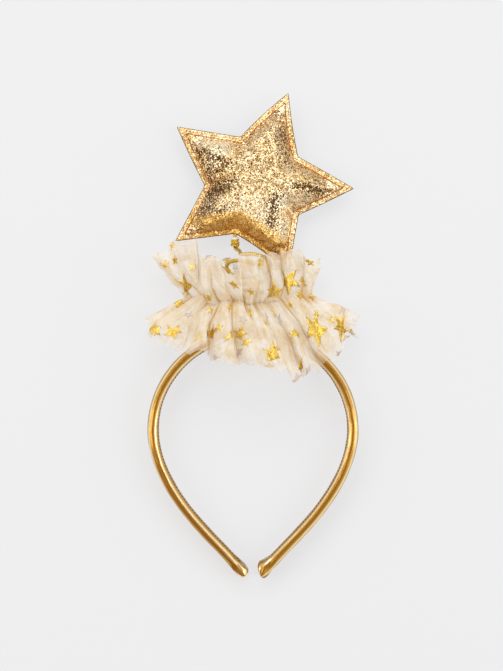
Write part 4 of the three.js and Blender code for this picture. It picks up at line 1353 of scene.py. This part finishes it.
gold_foil, shader, tree = new_finish("gold_foil", metallic=1.0)
solid = tree.place("Object")
crinkle = solid.noise(900, 3, 0.6)
speck = solid.cells(2600, "Color").channel("Red")
rubbed = 1 - tree.painted("face")
bright_foil = (crinkle * 0.7 + speck * 0.9 - 0.24).mix((0.46, 0.23, 0.008), (1.0, 0.78, 0.22))
feed(
    shader,
    base_color=(rubbed * 1.1).mix(bright_foil, (0.95, 0.78, 0.38)),
    roughness=0.3 + speck * 0.2,
    normal=(crinkle + speck * 0.5).bump(0.4, 0.0004),
)
foil_reverse = mottled(
    "foil_reverse", (0.45, 0.365, 0.315), (0.70, 0.60, 0.545), (900, 3, 0.6), (0.4, 0.0004),
    metallic=0.1, roughness=0.45,
)
for points, name, waist in ((5, "foil_stars", 0.45), (6, "foil_star_six", 0.58)):
    rows = np.array(charted[points])
    mesh = mesh_of(name + "_spots", [(u, v, 0) for u, v in rows[:, :2]], [])
    sizes = np.column_stack([rows[:, 2:4], np.ones(len(rows))])
    paint(mesh, size=sizes, turn=[(0, 0, turn) for turn in rows[:, 4]], face=rows[:, 5])
    piece = grown(
        name, mesh, foil_tree, Points=points, Waist=waist, Lift=FOIL_LIFT * MM,
        Thickness=FOIL_THICKNESS * MM, Cloth=ruffle, Gold=gold_foil, Reverse=foil_reverse,
    )
    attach(piece, "root")

# Stage: a plain pale floor, a soft ring of studio light that leaves the lens dark, and the camera
# straight above, as the photograph was taken.
FLOOR_PALE = (0.2, 0.2, 0.2)
FLOOR_LIGHT = (0.985, 1.0, 1.03)
FLOOR_GLOW = 0.64
SENSOR = 36.0
VIEW_HEIGHT = 0.3442
CAMERA_DISTANCE = 1.5
CAMERA_MIDDLE = (-0.0016, -0.0005)
DARK_SIDE = math.radians(28)
FLOOR_REACH = 2.0
FLOOR_Z = -0.0003
corners = [(FLOOR_REACH * x, FLOOR_REACH * y, FLOOR_Z) for x, y in ((-1, -1), (1, -1), (1, 1), (-1, 1))]
floor_mesh = mesh_of("floor", corners, [(0, 1, 2, 3)])
floor_pale, _, _ = new_finish(
    "pale_floor", base_color=(*FLOOR_PALE, 1), roughness=0.9, specular_ior_level=0.1,
    emission_color=(*FLOOR_LIGHT, 1), emission_strength=FLOOR_GLOW,
)
floor_mesh.materials.append(floor_pale)
floor = show("floor", floor_mesh)

world = bpy.data.worlds.new("studio")
bpy.context.scene.world = world
world.use_nodes = True
direction = Finish(world.node_tree, None).place("Generated")
lit_side = direction.axis("Y") * math.cos(DARK_SIDE) + direction.axis("X") * math.sin(DARK_SIDE)
ring = (direction.axis("Z") * 0.5 + 0.5).ramp([
    (0.0, (0.5, 0.40, 0.28)), (0.5, (0.82, 0.72, 0.56)), (0.62, (1.0, 0.97, 0.92)),
    (0.84, (0.95, 0.93, 0.89)), (0.92, (0.52, 0.46, 0.37)), (1.0, (0.42, 0.35, 0.26)),
])
glow = lit_side.eased(-0.3, -0.8, 0.0, 1.0).mix(ring, (0.42, 0.25, 0.09))
backdrop = world.node_tree.nodes["Background"]
world.node_tree.links.new(glow.socket, backdrop.inputs["Color"])
backdrop.inputs["Strength"].default_value = 1.0


def softbox(name, place, size, power):
    light = bpy.data.lights.new(name, "AREA")
    light.shape = "RECTANGLE"
    light.size, light.size_y = size
    light.energy = power
    lamp = bpy.data.objects.new(name, light)
    lamp.location = place
    lamp.rotation_euler = (-Vector(place)).to_track_quat("-Z", "Y").to_euler()
    bpy.context.scene.collection.objects.link(lamp)


softbox("top_light", (-0.1, 0.95, 1.05), (1.3, 0.7), 8)
softbox("left_light", (-1.0, -0.1, 0.75), (0.35, 1.3), 4)
softbox("right_light", (1.0, -0.1, 0.75), (0.35, 1.3), 4)

lens = bpy.data.cameras.new("camera")
lens.sensor_width = SENSOR
lens.lens = SENSOR * CAMERA_DISTANCE / VIEW_HEIGHT
camera = bpy.data.objects.new("camera", lens)
camera.location = (*CAMERA_MIDDLE, CAMERA_DISTANCE)
bpy.context.scene.collection.objects.link(camera)
bpy.context.scene.camera = camera
bpy.context.scene.view_settings.view_transform = "Standard"
bpy.context.scene.cycles.transparent_max_bounces = 24
